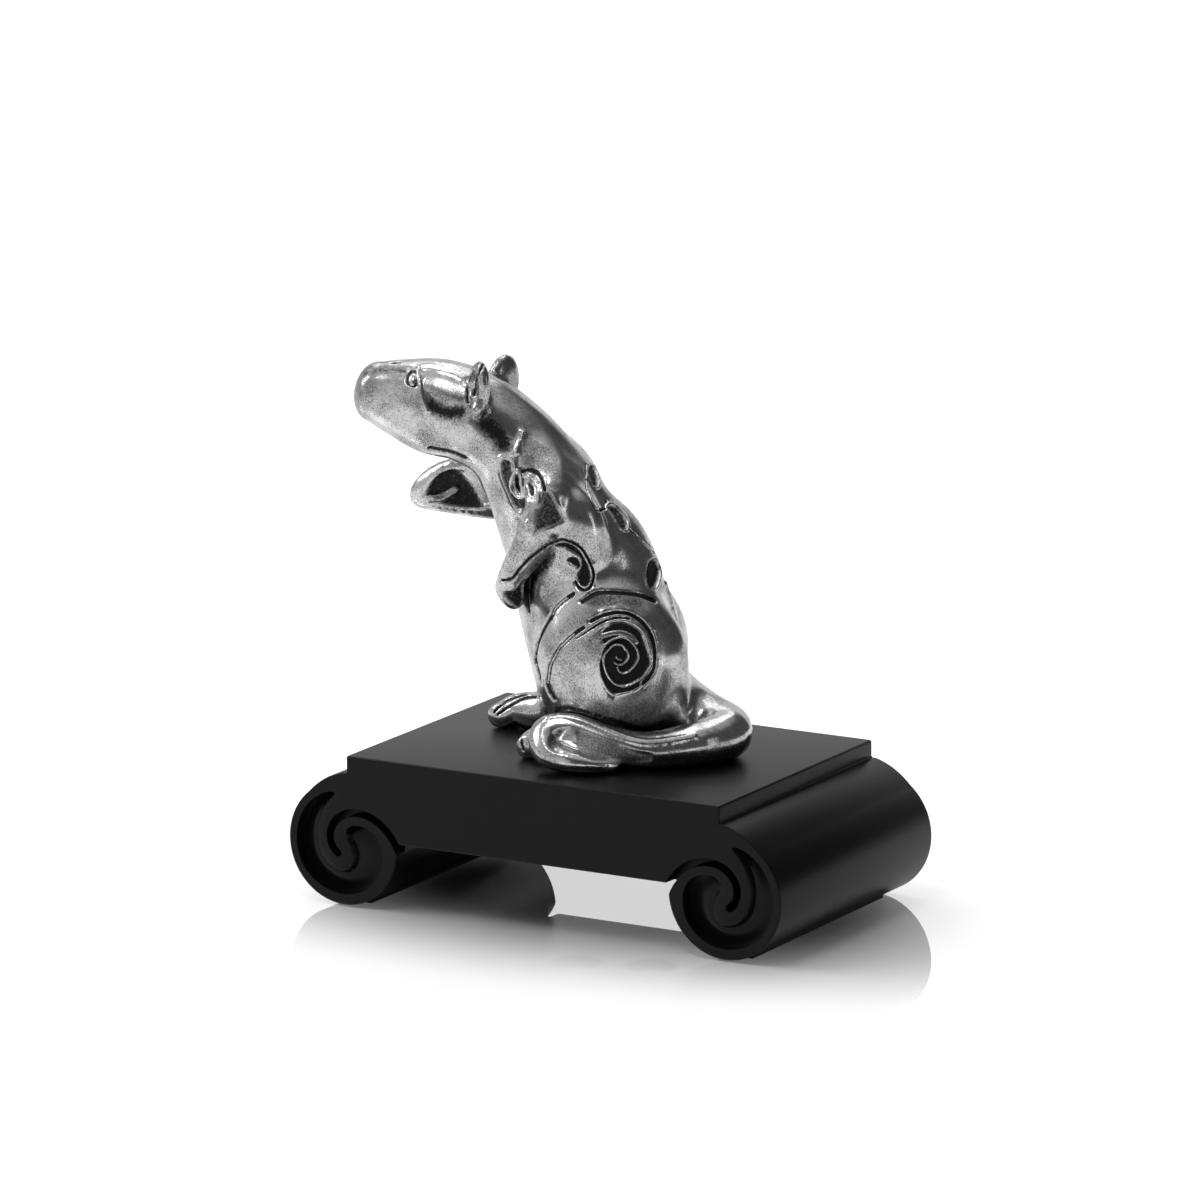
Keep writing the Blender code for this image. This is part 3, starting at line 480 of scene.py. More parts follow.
def along_segments(points, starts, ways):
    """For some of the points at a time, how far along each segment they lie, and the offset from it."""
    for first in range(0, len(points), POINTS_AT_ONCE):
        some = points[first:first + POINTS_AT_ONCE]
        local = some[:, None, :] - starts[None]
        along = np.einsum("nsk,sk->ns", local, ways) / np.einsum("sk,sk->s", ways, ways)
        held = np.clip(along, 0, 1)
        yield first, some, held, local - held[..., None] * ways


def bar(points, rows, squeeze=1.0):
    """The distance from a round bar through rows of x, y, z and radius, which may be flattened along Y."""
    rows = np.array(rows, float)
    middle_y = rows[:, 1].mean()
    scale = np.array((1, 1 / squeeze, 1))
    shift = np.array((0, middle_y, 0))
    low, high = rows[:, :3].min(0) - FAR, rows[:, :3].max(0) + FAR
    places = (rows[:, :3] - shift) * scale
    starts, ways = places[:-1], np.diff(places, axis=0)
    radii, widening = rows[:-1, 3], np.diff(rows[:, 3])

    def field(inner):
        found = np.empty(len(inner))
        for first, some, held, offset in along_segments((inner - shift) * scale, starts, ways):
            gap = np.linalg.norm(offset, axis=2) - (radii + held * widening)
            found[first:first + len(some)] = gap.min(1)
        return found * (0.5 + squeeze / 2)

    return within(points, low, high, field)


SPINE_ROWS = spread(SPINE, SPINE_STEPS)
LEFT_ARM_ROWS = spread(LEFT_ARM, ARM_STEPS)
RIGHT_ARM_ROWS = spread(RIGHT_ARM, ARM_STEPS)
TAIL_ROWS = spread(TAIL, TAIL_STEPS)


def torso(points):
    """The loft over the spine's oval sections."""
    starts, ways = SPINE_ROWS[:-1, :2], np.diff(SPINE_ROWS[:, :2], axis=0)
    lengths = np.linalg.norm(ways, axis=1)
    found = np.empty(len(points))
    for first, some, held, offset in along_segments(points[:, [0, 2]], starts, ways):
        pick = np.linalg.norm(offset, axis=2).argmin(1)
        every = np.arange(len(some))
        share = held[every, pick]
        size = SPINE_ROWS[pick, 2:] * (1 - share)[:, None] + SPINE_ROWS[pick + 1, 2:] * share[:, None]
        way = ways[pick] / lengths[pick, None]
        gap = some - starts[pick] - ways[pick] * share[:, None]
        across = gap[:, 0] * way[:, 1] - gap[:, 1] * way[:, 0]
        beyond = gap[:, 0] * way[:, 0] + gap[:, 1] * way[:, 1]
        out = points[first:first + len(some), 1]
        local = np.stack((across, out, beyond), axis=1)
        radii = np.stack((size[:, 0], size[:, 1], size.min(1) * SPINE_END), axis=1)
        found[first:first + len(some)] = oval_gap(local, radii)
    return found


def haunch(points, side):
    """A hip and thigh, in the hips' turned frame."""
    middle, radii = HAUNCH
    turn = turn_about("Z", HIP_TURN)
    return oval(points, turn @ (np.array(middle) * (1, side, 1)), radii, turn)


def left_arm(points):
    """The near arm with its paw, folded down against the belly."""
    return join(bar(points, LEFT_ARM_ROWS), leaning_oval(points, PAW), CREASES["paw"])


def right_arm(points):
    """The far arm and hand, held out in front and hollow on the side that shows."""
    found = bar(points, RIGHT_ARM_ROWS, RIGHT_ARM_FLATNESS)
    return cut(found, leaning_oval(points, FAR_PALM), CREASES["palm"])


def foot(points, side):
    """A long foot with three toes."""
    middle, degrees = FEET[side]
    turn = turn_about("Z", degrees)
    centre = np.array((*middle, FOOT_LIFT))
    found = oval(points, centre, FOOT_RADII, turn)
    for toe in (-1, 0, 1):
        place = centre + turn @ (np.array(TOE_PLACE) * (1, toe, 1))
        found = join(found, oval(points, place, TOE_RADII, turn), CREASES["toe"])
    return found


def ear(points, side):
    """A thin cup that opens forward, with a rim round it."""
    turn = turn_about("Z", side * EAR_TURN) @ turn_about("X", -side * EAR_LEAN)
    forward, out, up = EAR_PLACE
    out *= side
    swing, tilt = math.sin(math.radians(HEAD_SWING)), math.sin(math.radians(HEAD_TILT))
    place = np.array((forward + out * swing, out, up + out * tilt))
    cup = oval(points, place + turn @ np.array(EAR_CUP_PLACE), EAR_CUP_RADII, turn)
    return cut(oval(points, place, EAR_RADII, turn), cup, CREASES["ear_cup"])


def forms(points):
    """Each form that joins the torso, by its name in the creases, in order."""
    yield "rump", leaning_oval(points, RUMP)
    yield "tail_root", bar(points, TAIL_ROWS[:TAIL_ROOT_ROWS])
    for side in (1, -1):
        yield "haunch", haunch(points, side)
        yield "shoulder", leaning_oval(points, SHOULDER, side)
    yield "far_instep", leaning_oval(points, FAR_INSTEP)
    yield "elbow", leaning_oval(points, ELBOW)
    yield "left_arm", left_arm(points)
    yield "right_arm", right_arm(points)
    for side in (1, -1):
        yield "foot", foot(points, side)
        yield "ear", ear(points, side)
    yield "tail", bar(points, TAIL_ROWS)
    yield "tail_web", leaning_oval(points, TAIL_WEB)


def rat(points):
    """The distance in millimetres from the cast skin, below zero inside."""
    found = torso(points)
    for name, form in forms(points):
        found = join(found, form, CREASES[name])
    return np.maximum(found, SOLE_HEIGHT - points[:, 2])


def gradient(field, points, step=0.05):
    """The field and its gradient at the points, from the four corners of a small tetrahedron."""
    value, steep = np.zeros(len(points)), np.zeros_like(points)
    for corner in np.array(((1, 1, 1), (1, -1, -1), (-1, 1, -1), (-1, -1, 1))):
        found = field(points + step * corner)
        value += found / 4
        steep += found[:, None] * corner / (4 * step)
    return value, steep


def settle(field, points, rounds=1):
    """Moves the points onto the field's zero surface and gives them with their normals."""
    for _ in range(rounds):
        value, steep = gradient(field, points)
        points = points - steep * (value / np.maximum((steep ** 2).sum(1), 1e-4))[:, None]
    return points, steep / np.maximum(np.linalg.norm(steep, axis=1), 1e-6)[:, None]


def grid_of(field, low, high, cell):
    """The field's values on a grid, worked out in full only in the blocks near its zero surface."""
    blocks = np.ceil((high - low) / (cell * BLOCK)).astype(int)
    middles = np.stack(np.meshgrid(*(np.arange(n) for n in blocks), indexing="ij"), -1) + 0.5
    middles = low + cell * (BLOCK * middles - 0.5)
    coarse = field(middles.reshape(-1, 3)).reshape(blocks)
    near = np.abs(coarse) < BAND * BLOCK * cell
    for k in range(3):
        coarse, near = np.repeat(coarse, BLOCK, axis=k), np.repeat(near, BLOCK, axis=k)
    spots = np.argwhere(near)
    coarse[tuple(spots.T)] = field(low + cell * spots)
    return coarse


def skin_of(field, low, high, cell):
    """Corners and four-sided faces of the field's zero surface."""
    values = grid_of(field, low, high, cell)
    inside = values < 0
    size = np.array(values.shape) - 1
    total, hits = np.zeros((*size, 3)), np.zeros(tuple(size))
    corners = [(i, j, k) for i in (0, 1) for j in (0, 1) for k in (0, 1)]

    def at(array, corner):
        return array[tuple(slice(c, c + s) for c, s in zip(corner, size))]

    for corner in corners:
        for axis in range(3):
            if corner[axis]:
                continue
            other = tuple(c + (k == axis) for k, c in enumerate(corner))
            one, two = at(values, corner), at(values, other)
            crosses = at(inside, corner) != at(inside, other)
            share = np.where(crosses, one / np.where(crosses, one - two, 1), 0)
            for k in range(3):
                total[..., k] += np.where(crosses, corner[k] + (share if k == axis else 0), 0)
            hits += crosses
    number = np.full(tuple(size), -1)
    cells = np.argwhere(hits > 0)
    number[tuple(cells.T)] = np.arange(len(cells))
    places = low + cell * (cells + total[tuple(cells.T)] / hits[tuple(cells.T)][:, None])
    faces = []
    for axis in range(3):
        b, c = (axis + 1) % 3, (axis + 2) % 3
        ahead = np.roll(inside, -1, axis=axis)
        crossing = inside != ahead
        edge = np.argwhere(crossing)
        keep = np.all(edge < size, axis=1) & (edge[:, b] > 0) & (edge[:, c] > 0)
        edge = edge[keep]
        four = []
        for db, dc in ((0, 0), (-1, 0), (-1, -1), (0, -1)):
            spot = edge.copy()
            spot[:, b] += db
            spot[:, c] += dc
            four.append(number[tuple(spot.T)])
        quad = np.stack(four, 1)
        flip = ~inside[tuple(edge.T)]
        quad[flip] = quad[flip][:, ::-1]
        faces.append(quad)
    return places, np.concatenate(faces)


def line_gap(spots, line, reach=LINE_REACH):
    """How far each spot of two coordinates lies from a line of points, as long as that is within reach."""
    line = np.array(line, float)
    low, high = line.min(0) - reach, line.max(0) + reach
    close = np.flatnonzero(np.all((spots > low) & (spots < high), axis=1))
    gap = np.full(len(spots), FAR)
    nearest = np.empty(len(close))
    for first, some, held, offset in along_segments(spots[close], line[:-1], np.diff(line, axis=0)):
        nearest[first:first + len(some)] = np.linalg.norm(offset, axis=2).min(1)
    gap[close] = nearest
    return gap


def area_gap(spots, outline):
    """How far each spot lies from a closed outline, below zero inside it."""
    corners = np.array(outline, float)
    gap = line_gap(spots, np.vstack((corners, corners[:1])))
    inside = np.zeros(len(spots), bool)
    for (x, z), (next_x, next_z) in zip(corners, np.roll(corners, -1, axis=0)):
        level = (z > spots[:, 1]) != (next_z > spots[:, 1])
        meets = x + (spots[:, 1] - z) * (next_x - x) / (next_z - z if next_z != z else 1)
        inside ^= level & (spots[:, 0] < meets)
    return np.where(inside, -gap, gap)


def rise(value, low, high):
    """0 below low, 1 above high and a smooth step between."""
    share = np.clip((value - low) / (high - low), 0, 1)
    return share * share * (3 - 2 * share)


def smooth_line(points):
    """A smooth line through the points."""
    return spread(points, LINE_STEPS)


def smooth_outline(points):
    """A closed smooth curve through the points."""
    return smooth_line([points[-1], *points, points[0], points[1]])[LINE_STEPS:-LINE_STEPS - 1]


class Drawing:
    """A drawing board in front of the skin: what is drawn on it changes the skin that faces it."""

    def __init__(self, relief, origin, axes, depths):
        local = (relief.points - origin) @ np.array(axes, float).T
        facing = relief.normals @ np.array(axes[2], float)
        self.relief = relief
        close = (local[:, 2] > depths[0]) & (local[:, 2] < depths[1])
        self.where = np.flatnonzero(close & (facing > FACING[0]))
        self.spots = local[self.where, :2] + (origin[0], origin[2])
        self.strength = rise(facing[self.where], *FACING)

    def now(self, kind):
        """The height, the darkening by patina and painted shade, or the sand that the skin in front of the
        board has so far.
        """
        return self.relief.kinds[kind][self.where]

    def change(self, gap, height, patina_and_painted_shade, sand):
        """Gives the skin these values, and notes how near the drawing comes."""
        gap = np.minimum(self.now("gap"), gap)
        for kind, values in (("gap", gap), ("height", height), ("patina_and_painted_shade", patina_and_painted_shade), ("sand", sand)):
            self.relief.kinds[kind][self.where] = values

    def sink(self, gap, inside, depth, patina_and_painted_shade, sand=0.0):
        """Lowers the skin, and leaves darkening by patina and painted shade, and sand, in it, by how far
        inside each corner is.
        """
        self.change(gap, self.now("height") - depth * inside, np.maximum(self.now("patina_and_painted_shade"), patina_and_painted_shade * inside),
                    np.maximum(self.now("sand"), sand * inside))

    def polish(self, gap, height, keep):
        """Sets the skin's height, and keeps this share of its darkening by patina and painted shade and of
        its sand.
        """
        self.change(gap, height, self.now("patina_and_painted_shade") * keep, self.now("sand") * keep)

    def groove(self, line, width, depth, lip=0.0):
        """A rounded cut along a line, with a raised lip on both sides."""
        gap = line_gap(self.spots, smooth_line(line))
        inside = rise(gap, width / 2, width / 8) * self.strength
        edge = np.exp(-((gap - width / 2 - EDGE_FADE) / LIP_WIDTH) ** 2) * self.strength
        height = self.now("height") - depth * inside + lip * edge
        patina_and_painted_shade = np.maximum(self.now("patina_and_painted_shade") * (1 - edge * (lip > 0)), inside)
        self.change(gap, height, patina_and_painted_shade, self.now("sand"))

    def ridge(self, line, width, height, clean=1.0):
        """A raised line, polished clean of patina and painted shade."""
        gap = line_gap(self.spots, smooth_line(line))
        top = rise(gap, width / 2 + EDGE_FADE, width / 5) * self.strength
        self.polish(gap, self.now("height") * (1 - top) + height * top, 1 - top * clean)

    def dent(self, line, width, depth, patina_and_painted_shade):
        """A soft shallow hollow along a line."""
        gap = line_gap(self.spots, smooth_line(line))
        self.sink(gap, np.exp(-(2 * gap / width) ** 2) * self.strength, depth, patina_and_painted_shade)

    def recess(self, outline, depth, slope, patina_and_painted_shade=0.6, sand=1.0):
        """A sunk floor inside an outline, with sloping sides."""
        gap = area_gap(self.spots, smooth_outline(outline))
        self.sink(np.maximum(gap, 0), rise(-gap, 0, slope) * self.strength, depth, patina_and_painted_shade, sand)

    def rimmed_recess(self, outline, depth, slope, width, height, patina_and_painted_shade=0.6):
        """A sunk floor with a raised line round it."""
        self.recess(outline, depth, slope, patina_and_painted_shade)
        self.ridge([*outline, outline[0]], width, height)

    def shade(self, outline, slope, patina_and_painted_shade, sand):
        """An area that is darker or sandier, with no relief."""
        gap = area_gap(self.spots, smooth_outline(outline))
        self.sink(FAR, rise(-gap, -slope / 2, slope / 2) * self.strength, 0, patina_and_painted_shade, sand)

    def dome(self, centre, radii, height):
        """A polished oval bead."""
        reach = np.linalg.norm((self.spots - centre) / radii, axis=1)
        top = np.sqrt(np.clip(1 - reach ** 2, 0, 1)) * self.strength
        gap = np.maximum(reach - 1, 0) * min(radii)
        self.polish(gap, self.now("height") + height * top, 1 - (reach < 1) * self.strength)


class Relief:
    """Every drawing at the given points of the skin."""

    def __init__(self, points, normals):
        self.points, self.normals = points, normals
        self.kinds = {kind: np.zeros(len(points)) for kind in ("height", "patina_and_painted_shade", "sand")}
        self.kinds["gap"] = np.full(len(points), FAR)
        tilt = turn_about("X", HEAD_TILT)
        hips = turn_about("Z", HIP_TURN)
        for side in (1, -1):
            self.draw_haunch(self.seen("haunch", side, hips))
            self.draw_flank(self.seen("flank", side))
            self.draw_shoulder(self.seen("shoulder", side))
            self.draw_head(self.seen("head", side, tilt, (0, 0, HEAD_AXIS_HEIGHT)))
            self.draw_ear(self.seen("ear", side))
        self.draw_arm(self.seen("arm"))
        self.seen("arm_edge").ridge(ARM_RIDGE, 1.0, 0.3)
        self.draw_hand(self.seen("hand"))
        self.draw_tail(self.seen("tail"))
        self.draw_toes(self.seen("far_toes"), FAR_TOE_LINES)
        self.draw_toes(self.seen("near_toes"), [NEAR_TOE_LINE])
        self.draw_back(Drawing(self, np.zeros(3), ((0, 1, 0), (0, 0, 1), (-1, 0, 0)), DEPTHS["back"]))
        self.draw_snout(Drawing(self, np.zeros(3), np.eye(3), DEPTHS["snout"]))

    def seen(self, part, side=1, turn=np.eye(3), origin=(0, 0, 0)):
        """A drawing board that faces the rat's left or right side, turned by a matrix."""
        axes = (turn @ (1, 0, 0), turn @ (0, 0, 1), turn @ (0, side, 0))
        return Drawing(self, np.array(origin, float), axes, DEPTHS[part])

    def draw_haunch(self, board):
        """The spiral and the lines round it."""
        board.shade(HAUNCH_LOW_SAND, 2.5, 0.35, 0.8)
        board.shade(HAUNCH_TOP_SAND, 0.8, 0.45, 1.0)
        board.groove(HAUNCH_CREASE, 1.0, 0.35)
        board.recess(SPIRAL_FLOOR, 0.5, 0.55, patina_and_painted_shade=0.85, sand=0.7)
        board.ridge(SPIRAL_MOUND, 1.2, -0.1, clean=0.8)
        board.groove(HAIRPIN, 0.8, 0.5, lip=0.10)
        board.groove(INNER_LINE, 0.5, 0.35, lip=0.05)
        board.ridge(SPIRAL_RIM, 0.5, 0.2)
        board.ridge(SPIRAL_COIL, 0.5, 0.22)
        board.ridge(SPIRAL_CORE, 0.4, 0.15)
        board.ridge(SPIRAL_DOT, 0.4, 0.15)
        board.groove(THIGH_LINE, 1.0, 0.45, lip=0.06)
        board.ridge(THIGH_LINE[1:-2], 0.2, -0.02)

    def draw_flank(self, board):
        """The lines down the belly."""
        board.groove(BELLY_LINE, 0.9, 0.45, lip=0.06)
        board.ridge(BELLY_LINE[1:5], 0.2, -0.02)
        board.groove(BELLY_WEDGE, 0.9, 0.5)

    def draw_shoulder(self, board):
        """The loop, the almond and the crescent, and the hollow before them."""
        # The neck's shallow dent is darkened as a painted dark reflection and painted shade
        board.dent(NECK_HOLLOW, 4.0, 0.3, 0.8)
        board.shade(SHOULDER_SAND, 1.0, 0.15, 1.0)
        board.ridge(SHOULDER_EDGE, 1.3, 0.45)
        board.recess(LOOP_FLOOR, 0.4, 0.5)
        board.ridge(LOOP, 0.6, 0.3)
        board.groove(CRESCENT_GROOVE, 0.9, 0.5)
        board.recess(SHOULDER_BEAD, 0.3, 0.4, patina_and_painted_shade=0.7)
        board.ridge(CRESCENT, 0.5, 0.22)
        board.ridge(ALMOND, 0.6, 0.35)
        board.recess(ALMOND_HOLE, 0.9, 0.45, patina_and_painted_shade=1.0, sand=0.0)

    def draw_arm(self, board):
        """The arch and the curl round the arm, and the hollows beside it."""
        board.recess(ARM_VALLEY, 0.5, 1.1, patina_and_painted_shade=0.6)
        # A painted dark reflection under the arch
        board.shade(ARM_PAINTED_REFLECTION, 0.8, 0.5, 0.6)
        board.recess(PAW_HOLLOW, 0.5, 0.9, patina_and_painted_shade=0.7)
        board.recess(HOOK, 0.6, 0.6, patina_and_painted_shade=0.8)
        board.groove(ARCH, 0.6, 0.5, lip=0.10)
        board.recess(CURL, 0.4, 0.4, patina_and_painted_shade=0.8)
        board.ridge(CURL_BEAD, 0.3, 0.05)

    def draw_head(self, board):
        """The eye, the brow, the cheek and the throat."""
        board.dent(SNOUT_EDGE, 1.6, 0.2, 0.5)
        # The temple's hollow and the pocket below it are darkened as a painted dark reflection
        board.recess(TEMPLE, 0.4, 2.2, patina_and_painted_shade=0.4, sand=0.4)
        board.dent(TEMPLE_POCKET, 2.8, 0.3, 0.8)
        board.ridge(BROW, 1.2, 0.15)
        board.recess(EYE, 0.5, 0.4, patina_and_painted_shade=0.9, sand=0.2)
        board.dome(*EYE_BEAD, 0.5)
        board.ridge(CHEEK_RIDGE, 0.9, 0.45)
        board.groove(THROAT_LINE, 1.2, 0.4)

    def draw_ear(self, board):
        """The folds in the ear."""
        board.groove(EAR_SLIT, 0.6, 0.3, lip=0.06)
        board.groove(EAR_CREASE, 0.5, 0.2, lip=0.06)
        board.recess(EAR_LOBE, 0.3, 0.4, patina_and_painted_shade=0.4)

    def draw_hand(self, board):
        """The dark hollow of the far hand, with one finger across it."""
        board.recess(HAND_HOLLOW, 0.6, 1.6, patina_and_painted_shade=0.75, sand=0.5)
        board.ridge(FINGER, 1.8, 0.1, clean=0.6)

    def draw_tail(self, board):
        """The tail's flat side, the hollow of its curl and its edge."""
        board.recess(TAIL_FACE, 0.3, 0.9, patina_and_painted_shade=0.0, sand=1.0)
        board.recess(TAIL_HOLLOW, 0.4, 1.0, patina_and_painted_shade=0.5, sand=0.4)
        board.ridge(TAIL_RIM, 1.2, 0.3)

    def draw_toes(self, board, lines):
        """The cuts between the toes."""
        for line in lines:
            board.groove(line, 0.6, 0.3)

    def draw_back(self, board):
        """The rings, curls and lines down the back."""
        board.rimmed_recess(BACK_RING, 0.5, 0.5, 0.4, 0.2)
        board.groove(BACK_TONGUE, 0.5, 0.3, lip=0.06)
        board.rimmed_recess(BACK_CURL, 0.5, 0.5, 0.4, 0.15)
        board.groove(BACK_LINE, 0.45, 0.3)
        board.rimmed_recess(BACK_OVAL, 0.7, 0.7, 0.3, 0.15, patina_and_painted_shade=0.7)
        board.ridge(SPINE_CREST, 0.9, 0.35)

    def draw_snout(self, board):
        """The short cut on top of the snout."""
        board.groove(SNOUT_DASH, 0.4, 0.2)


def cavity(points, normals, reach):
    """How much the skin around each point closes in over it, from 0 in the open to 1 in a tight crease."""
    return np.clip(1 - rat(points + normals * reach) / reach, 0, 1)


def corners_of(shape):
    """Where the corners of a mesh in the making are."""
    return np.array([vert.co for vert in shape.verts])


def split_near(shape, places, normals, margin):
    """Splits in four the faces of the rat's skin that lie within a margin of a drawing."""
    close = Relief(places, normals).kinds["gap"] < margin
    edges = [edge for edge in shape.edges if close[edge.verts[0].index] and close[edge.verts[1].index]]
    bmesh.ops.subdivide_edges(shape, edges=edges, cuts=1, use_grid_fill=True)
    shape.verts.index_update()
    fresh, fresh_normals = settle(rat, corners_of(shape)[len(places):])
    for vert, place in zip(list(shape.verts)[len(places):], fresh):
        vert.co = place
    return np.vstack((places, fresh)), np.vstack((normals, fresh_normals))


def rat_skin():
    """The rat's skin in millimetres with its relief, and how dark and how sandy it is at each corner."""
    places, faces = skin_of(rat, RAT_LOW, RAT_HIGH, CELL)
    places, normals = settle(rat, places, 2)
    plain = bpy.data.meshes.new("skin")
    plain.from_pydata(places.tolist(), [], faces.tolist())
    plain.update()
    shape = bmesh.new()
    shape.from_mesh(plain)
    for margin in SPLIT_MARGINS:
        places, normals = split_near(shape, places, normals, margin)
    relief = Relief(places, normals).kinds
    # Darker in tight creases: painted shade, where the real pewter also gathers patina
    dark = rise(cavity(places, normals, CREASE_REACH), *CREASE_DARK)
    skin = bpy.data.meshes.new("rat_casting")
    shape.to_mesh(skin)
    shape.free()
    skin.vertices.foreach_set("co", (places + normals * relief["height"][:, None]).ravel())
    for name, values in (("patina_and_painted_shade", np.maximum(relief["patina_and_painted_shade"], dark)), ("sand", relief["sand"])):
        skin.attributes.new(name, "FLOAT", "POINT").data.foreach_set("value", values.astype(np.float32))
    return skin


PEWTER_NODES = (
    "rat_body", "left_ear", "right_ear", "left_arm", "right_arm", "left_foot", "right_foot", "tail",
)
PAINTED_NODES = ("base_panel", "left_scroll_end", "right_scroll_end")


def roll_places(angles, radii):
    """Places by angle in degrees and radius about the left roll's middle, mirrored to the right roll."""
    angles = np.radians(angles)
    return np.stack((-radii * np.cos(angles), radii * np.sin(angles)), axis=1)


def narrow_groove_line():
    """The middle of the narrow groove, from its mouth in the notch to its end."""
    shares = np.linspace(0, 1, NARROW_STEPS)
    radii = NARROW_LAST_RADIUS + NARROW_OPENING * np.clip(1 - shares, 0, 1) ** NARROW_TIGHTENING
    return roll_places(NARROW_START + (NARROW_END - NARROW_START) * shares, radii)


WIDE_OUTER_LINE = roll_places(*spread(WIDE_OUTER, ROLL_LINE_STEPS).T)
WIDE_INNER_LINE = roll_places(*spread(WIDE_INNER, ROLL_LINE_STEPS).T)
WIDE_OUTLINE = np.vstack((WIDE_OUTER_LINE, WIDE_INNER_LINE[::-1]))
NARROW_LINE = narrow_groove_line()


def on_circle(x, z, radius, degrees):
    """The place on a circle in X and Z, anticlockwise from its right."""
    angle = math.radians(degrees)
    return x + radius * math.cos(angle), z + radius * math.sin(angle)


def half_outline():
    """The stand's right half in X and Z, from the middle of its top round the roll to under its middle."""
    edge = (TOP_HALF - TOP_ROUND, STAND_TOP - TOP_ROUND)
    points = [(0, STAND_TOP), *(on_circle(*edge, TOP_ROUND, degrees) for degrees in (90, 60, 30, 0))]
    points += [(TOP_HALF, LEDGE_HEIGHT + LEDGE_ROUND), (TOP_HALF + LEDGE_ROUND, LEDGE_HEIGHT)]
    shoulder = np.array((TOP_HALF + LEDGE_REACH - ROLL_X, LEDGE_HEIGHT - ROLL_HEIGHT))
    reach = np.linalg.norm(shoulder)
    first = math.degrees(math.atan2(shoulder[1], shoulder[0]))
    last = -180 - math.degrees(math.asin((PANEL_UNDER - ROLL_HEIGHT) / ROLL_RADIUS))
    for angle in np.linspace(first, last, ROLL_STEPS):
        share = max(0.0, (angle - SHOULDER_ANGLE) / (first - SHOULDER_ANGLE)) ** SHOULDER_FULLNESS
        points.append(on_circle(ROLL_X, ROLL_HEIGHT, ROLL_RADIUS + (reach - ROLL_RADIUS) * share, angle))
    return [*points, (0, PANEL_UNDER)]


def whole_outline():
    """Anticlockwise round the whole stand, as seen from the front."""
    half = half_outline()
    mirrored = [(-x, z) for x, z in half[1:-1]]
    return np.array(half[:1] + mirrored + half[-1:] + half[-2:0:-1])


BODY_OUTLINE = whole_outline()


def leftward(line):
    """The directions square to a row of steps, to their left, each one long."""
    line = line / np.linalg.norm(line, axis=1)[:, None]
    return np.stack((-line[:, 1], line[:, 0]), axis=1)


def inset(outline, gap):
    """The closed outline moved in by a gap, at each corner along the line that halves it."""
    inward = leftward(np.roll(outline, -1, axis=0) - outline)
    middle = inward + np.roll(inward, 1, axis=0)
    return outline + middle * (2 * gap / np.maximum((middle ** 2).sum(1), MITRE_LEAST))[:, None]


def carving_depth(spots):
    """How far each spot of the stand's front lies behind its plane."""
    edge = line_gap(spots, np.vstack((BODY_OUTLINE, BODY_OUTLINE[:1])))
    left = np.clip(1 - edge / FACE_ROUND, 0, 1)
    depth = FACE_ROUND * (1 - np.sqrt(1 - left ** 2))
    local = np.stack((np.abs(spots[:, 0]) - ROLL_X, spots[:, 1] - ROLL_HEIGHT), axis=1)
    outer, inner = (line_gap(local, line, ROLL_RADIUS) for line in (WIDE_OUTER_LINE, WIDE_INNER_LINE))
    share = outer / np.maximum(outer + inner, 1e-6)
    floor = WIDE_DEEP + (WIDE_SHALLOW - WIDE_DEEP) * rise(share, *WIDE_RISE)
    walls = rise(outer, 0, WALL_SLOPE) * rise(inner, 0, INNER_SLOPE)
    wide = floor * walls * (area_gap(local, WIDE_OUTLINE) < 1e-4)
    narrow = NARROW_DEPTH * rise(NARROW_HALF - line_gap(local, NARROW_LINE), 0, WALL_SLOPE)
    return np.maximum(depth, np.maximum(wide, narrow))


def carving_lines():
    """The lines on the right roll that the face's triangles follow, and whether each closes on itself."""
    lines = []
    wide = np.vstack((WIDE_OUTER_LINE, WIDE_INNER_LINE[-2:0:-1]))
    for gap in (0.0, WALL_SLOPE / 2, WALL_SLOPE, INNER_SLOPE / 2, INNER_SLOPE):
        lines.append((inset(wide, -gap), True))
    beside = leftward(np.gradient(NARROW_LINE, axis=0))
    side = leftward(NARROW_LINE[-1:] - NARROW_LINE[-2:-1])[0]
    ahead = np.array((side[1], -side[0]))
    bow = np.radians(np.linspace(90, -90, NARROW_END_STEPS))[1:-1, None]
    for gap in (0.0, WALL_SLOPE / 2, WALL_SLOPE):
        half = NARROW_HALF - gap
        end = NARROW_LINE[-1] + half * (np.cos(bow) * ahead + np.sin(bow) * side)
        back = (NARROW_LINE - beside * half)[::-1]
        lines.append((np.vstack((NARROW_LINE + beside * half, end, back)), False))
    return lines


def floor_spots():
    """An even spread of spots over the wide groove's floor."""
    reach = np.arange(-ROLL_RADIUS, ROLL_RADIUS, FLOOR_GRID)
    x, z = np.meshgrid(reach, reach)
    x = x + FLOOR_GRID / 2 * (np.arange(len(reach)) % 2)[:, None]
    spots = np.stack((x.ravel(), z.ravel()), axis=1)
    return spots[area_gap(spots, WIDE_OUTLINE) < -INNER_SLOPE - FLOOR_GRID / 2]


def stand_face():
    """The front as triangles in X and Z that follow the carving's edges."""
    corners, edges = [], []

    def add(line, closed):
        first = len(corners)
        corners.extend(line.tolist())
        edges.extend((i, i + 1) for i in range(first, len(corners) - 1))
        if closed:
            edges.append((len(corners) - 1, first))

    for turn in (0, 22.5, 45, 67.5, 90):
        add(inset(BODY_OUTLINE, FACE_ROUND * (1 - math.cos(math.radians(turn)))), True)
    add(inset(BODY_OUTLINE, FACE_MARGIN), True)
    for side in (1, -1):
        for line, closed in carving_lines():
            add((line + (ROLL_X, ROLL_HEIGHT)) * (side, 1), closed)
        for x, z in floor_spots():
            corners.append((side * (x + ROLL_X), z + ROLL_HEIGHT))
    result = delaunay_2d_cdt([Vector(c) for c in corners], edges, [], 1, 1e-5)
    spots, faces = np.array([tuple(v) for v in result[0]]), result[2]
    middles = np.array([spots[face].mean(0) for face in faces])
    inside = area_gap(middles, BODY_OUTLINE) < 0
    return spots, [face for face, keep in zip(faces, inside) if keep]


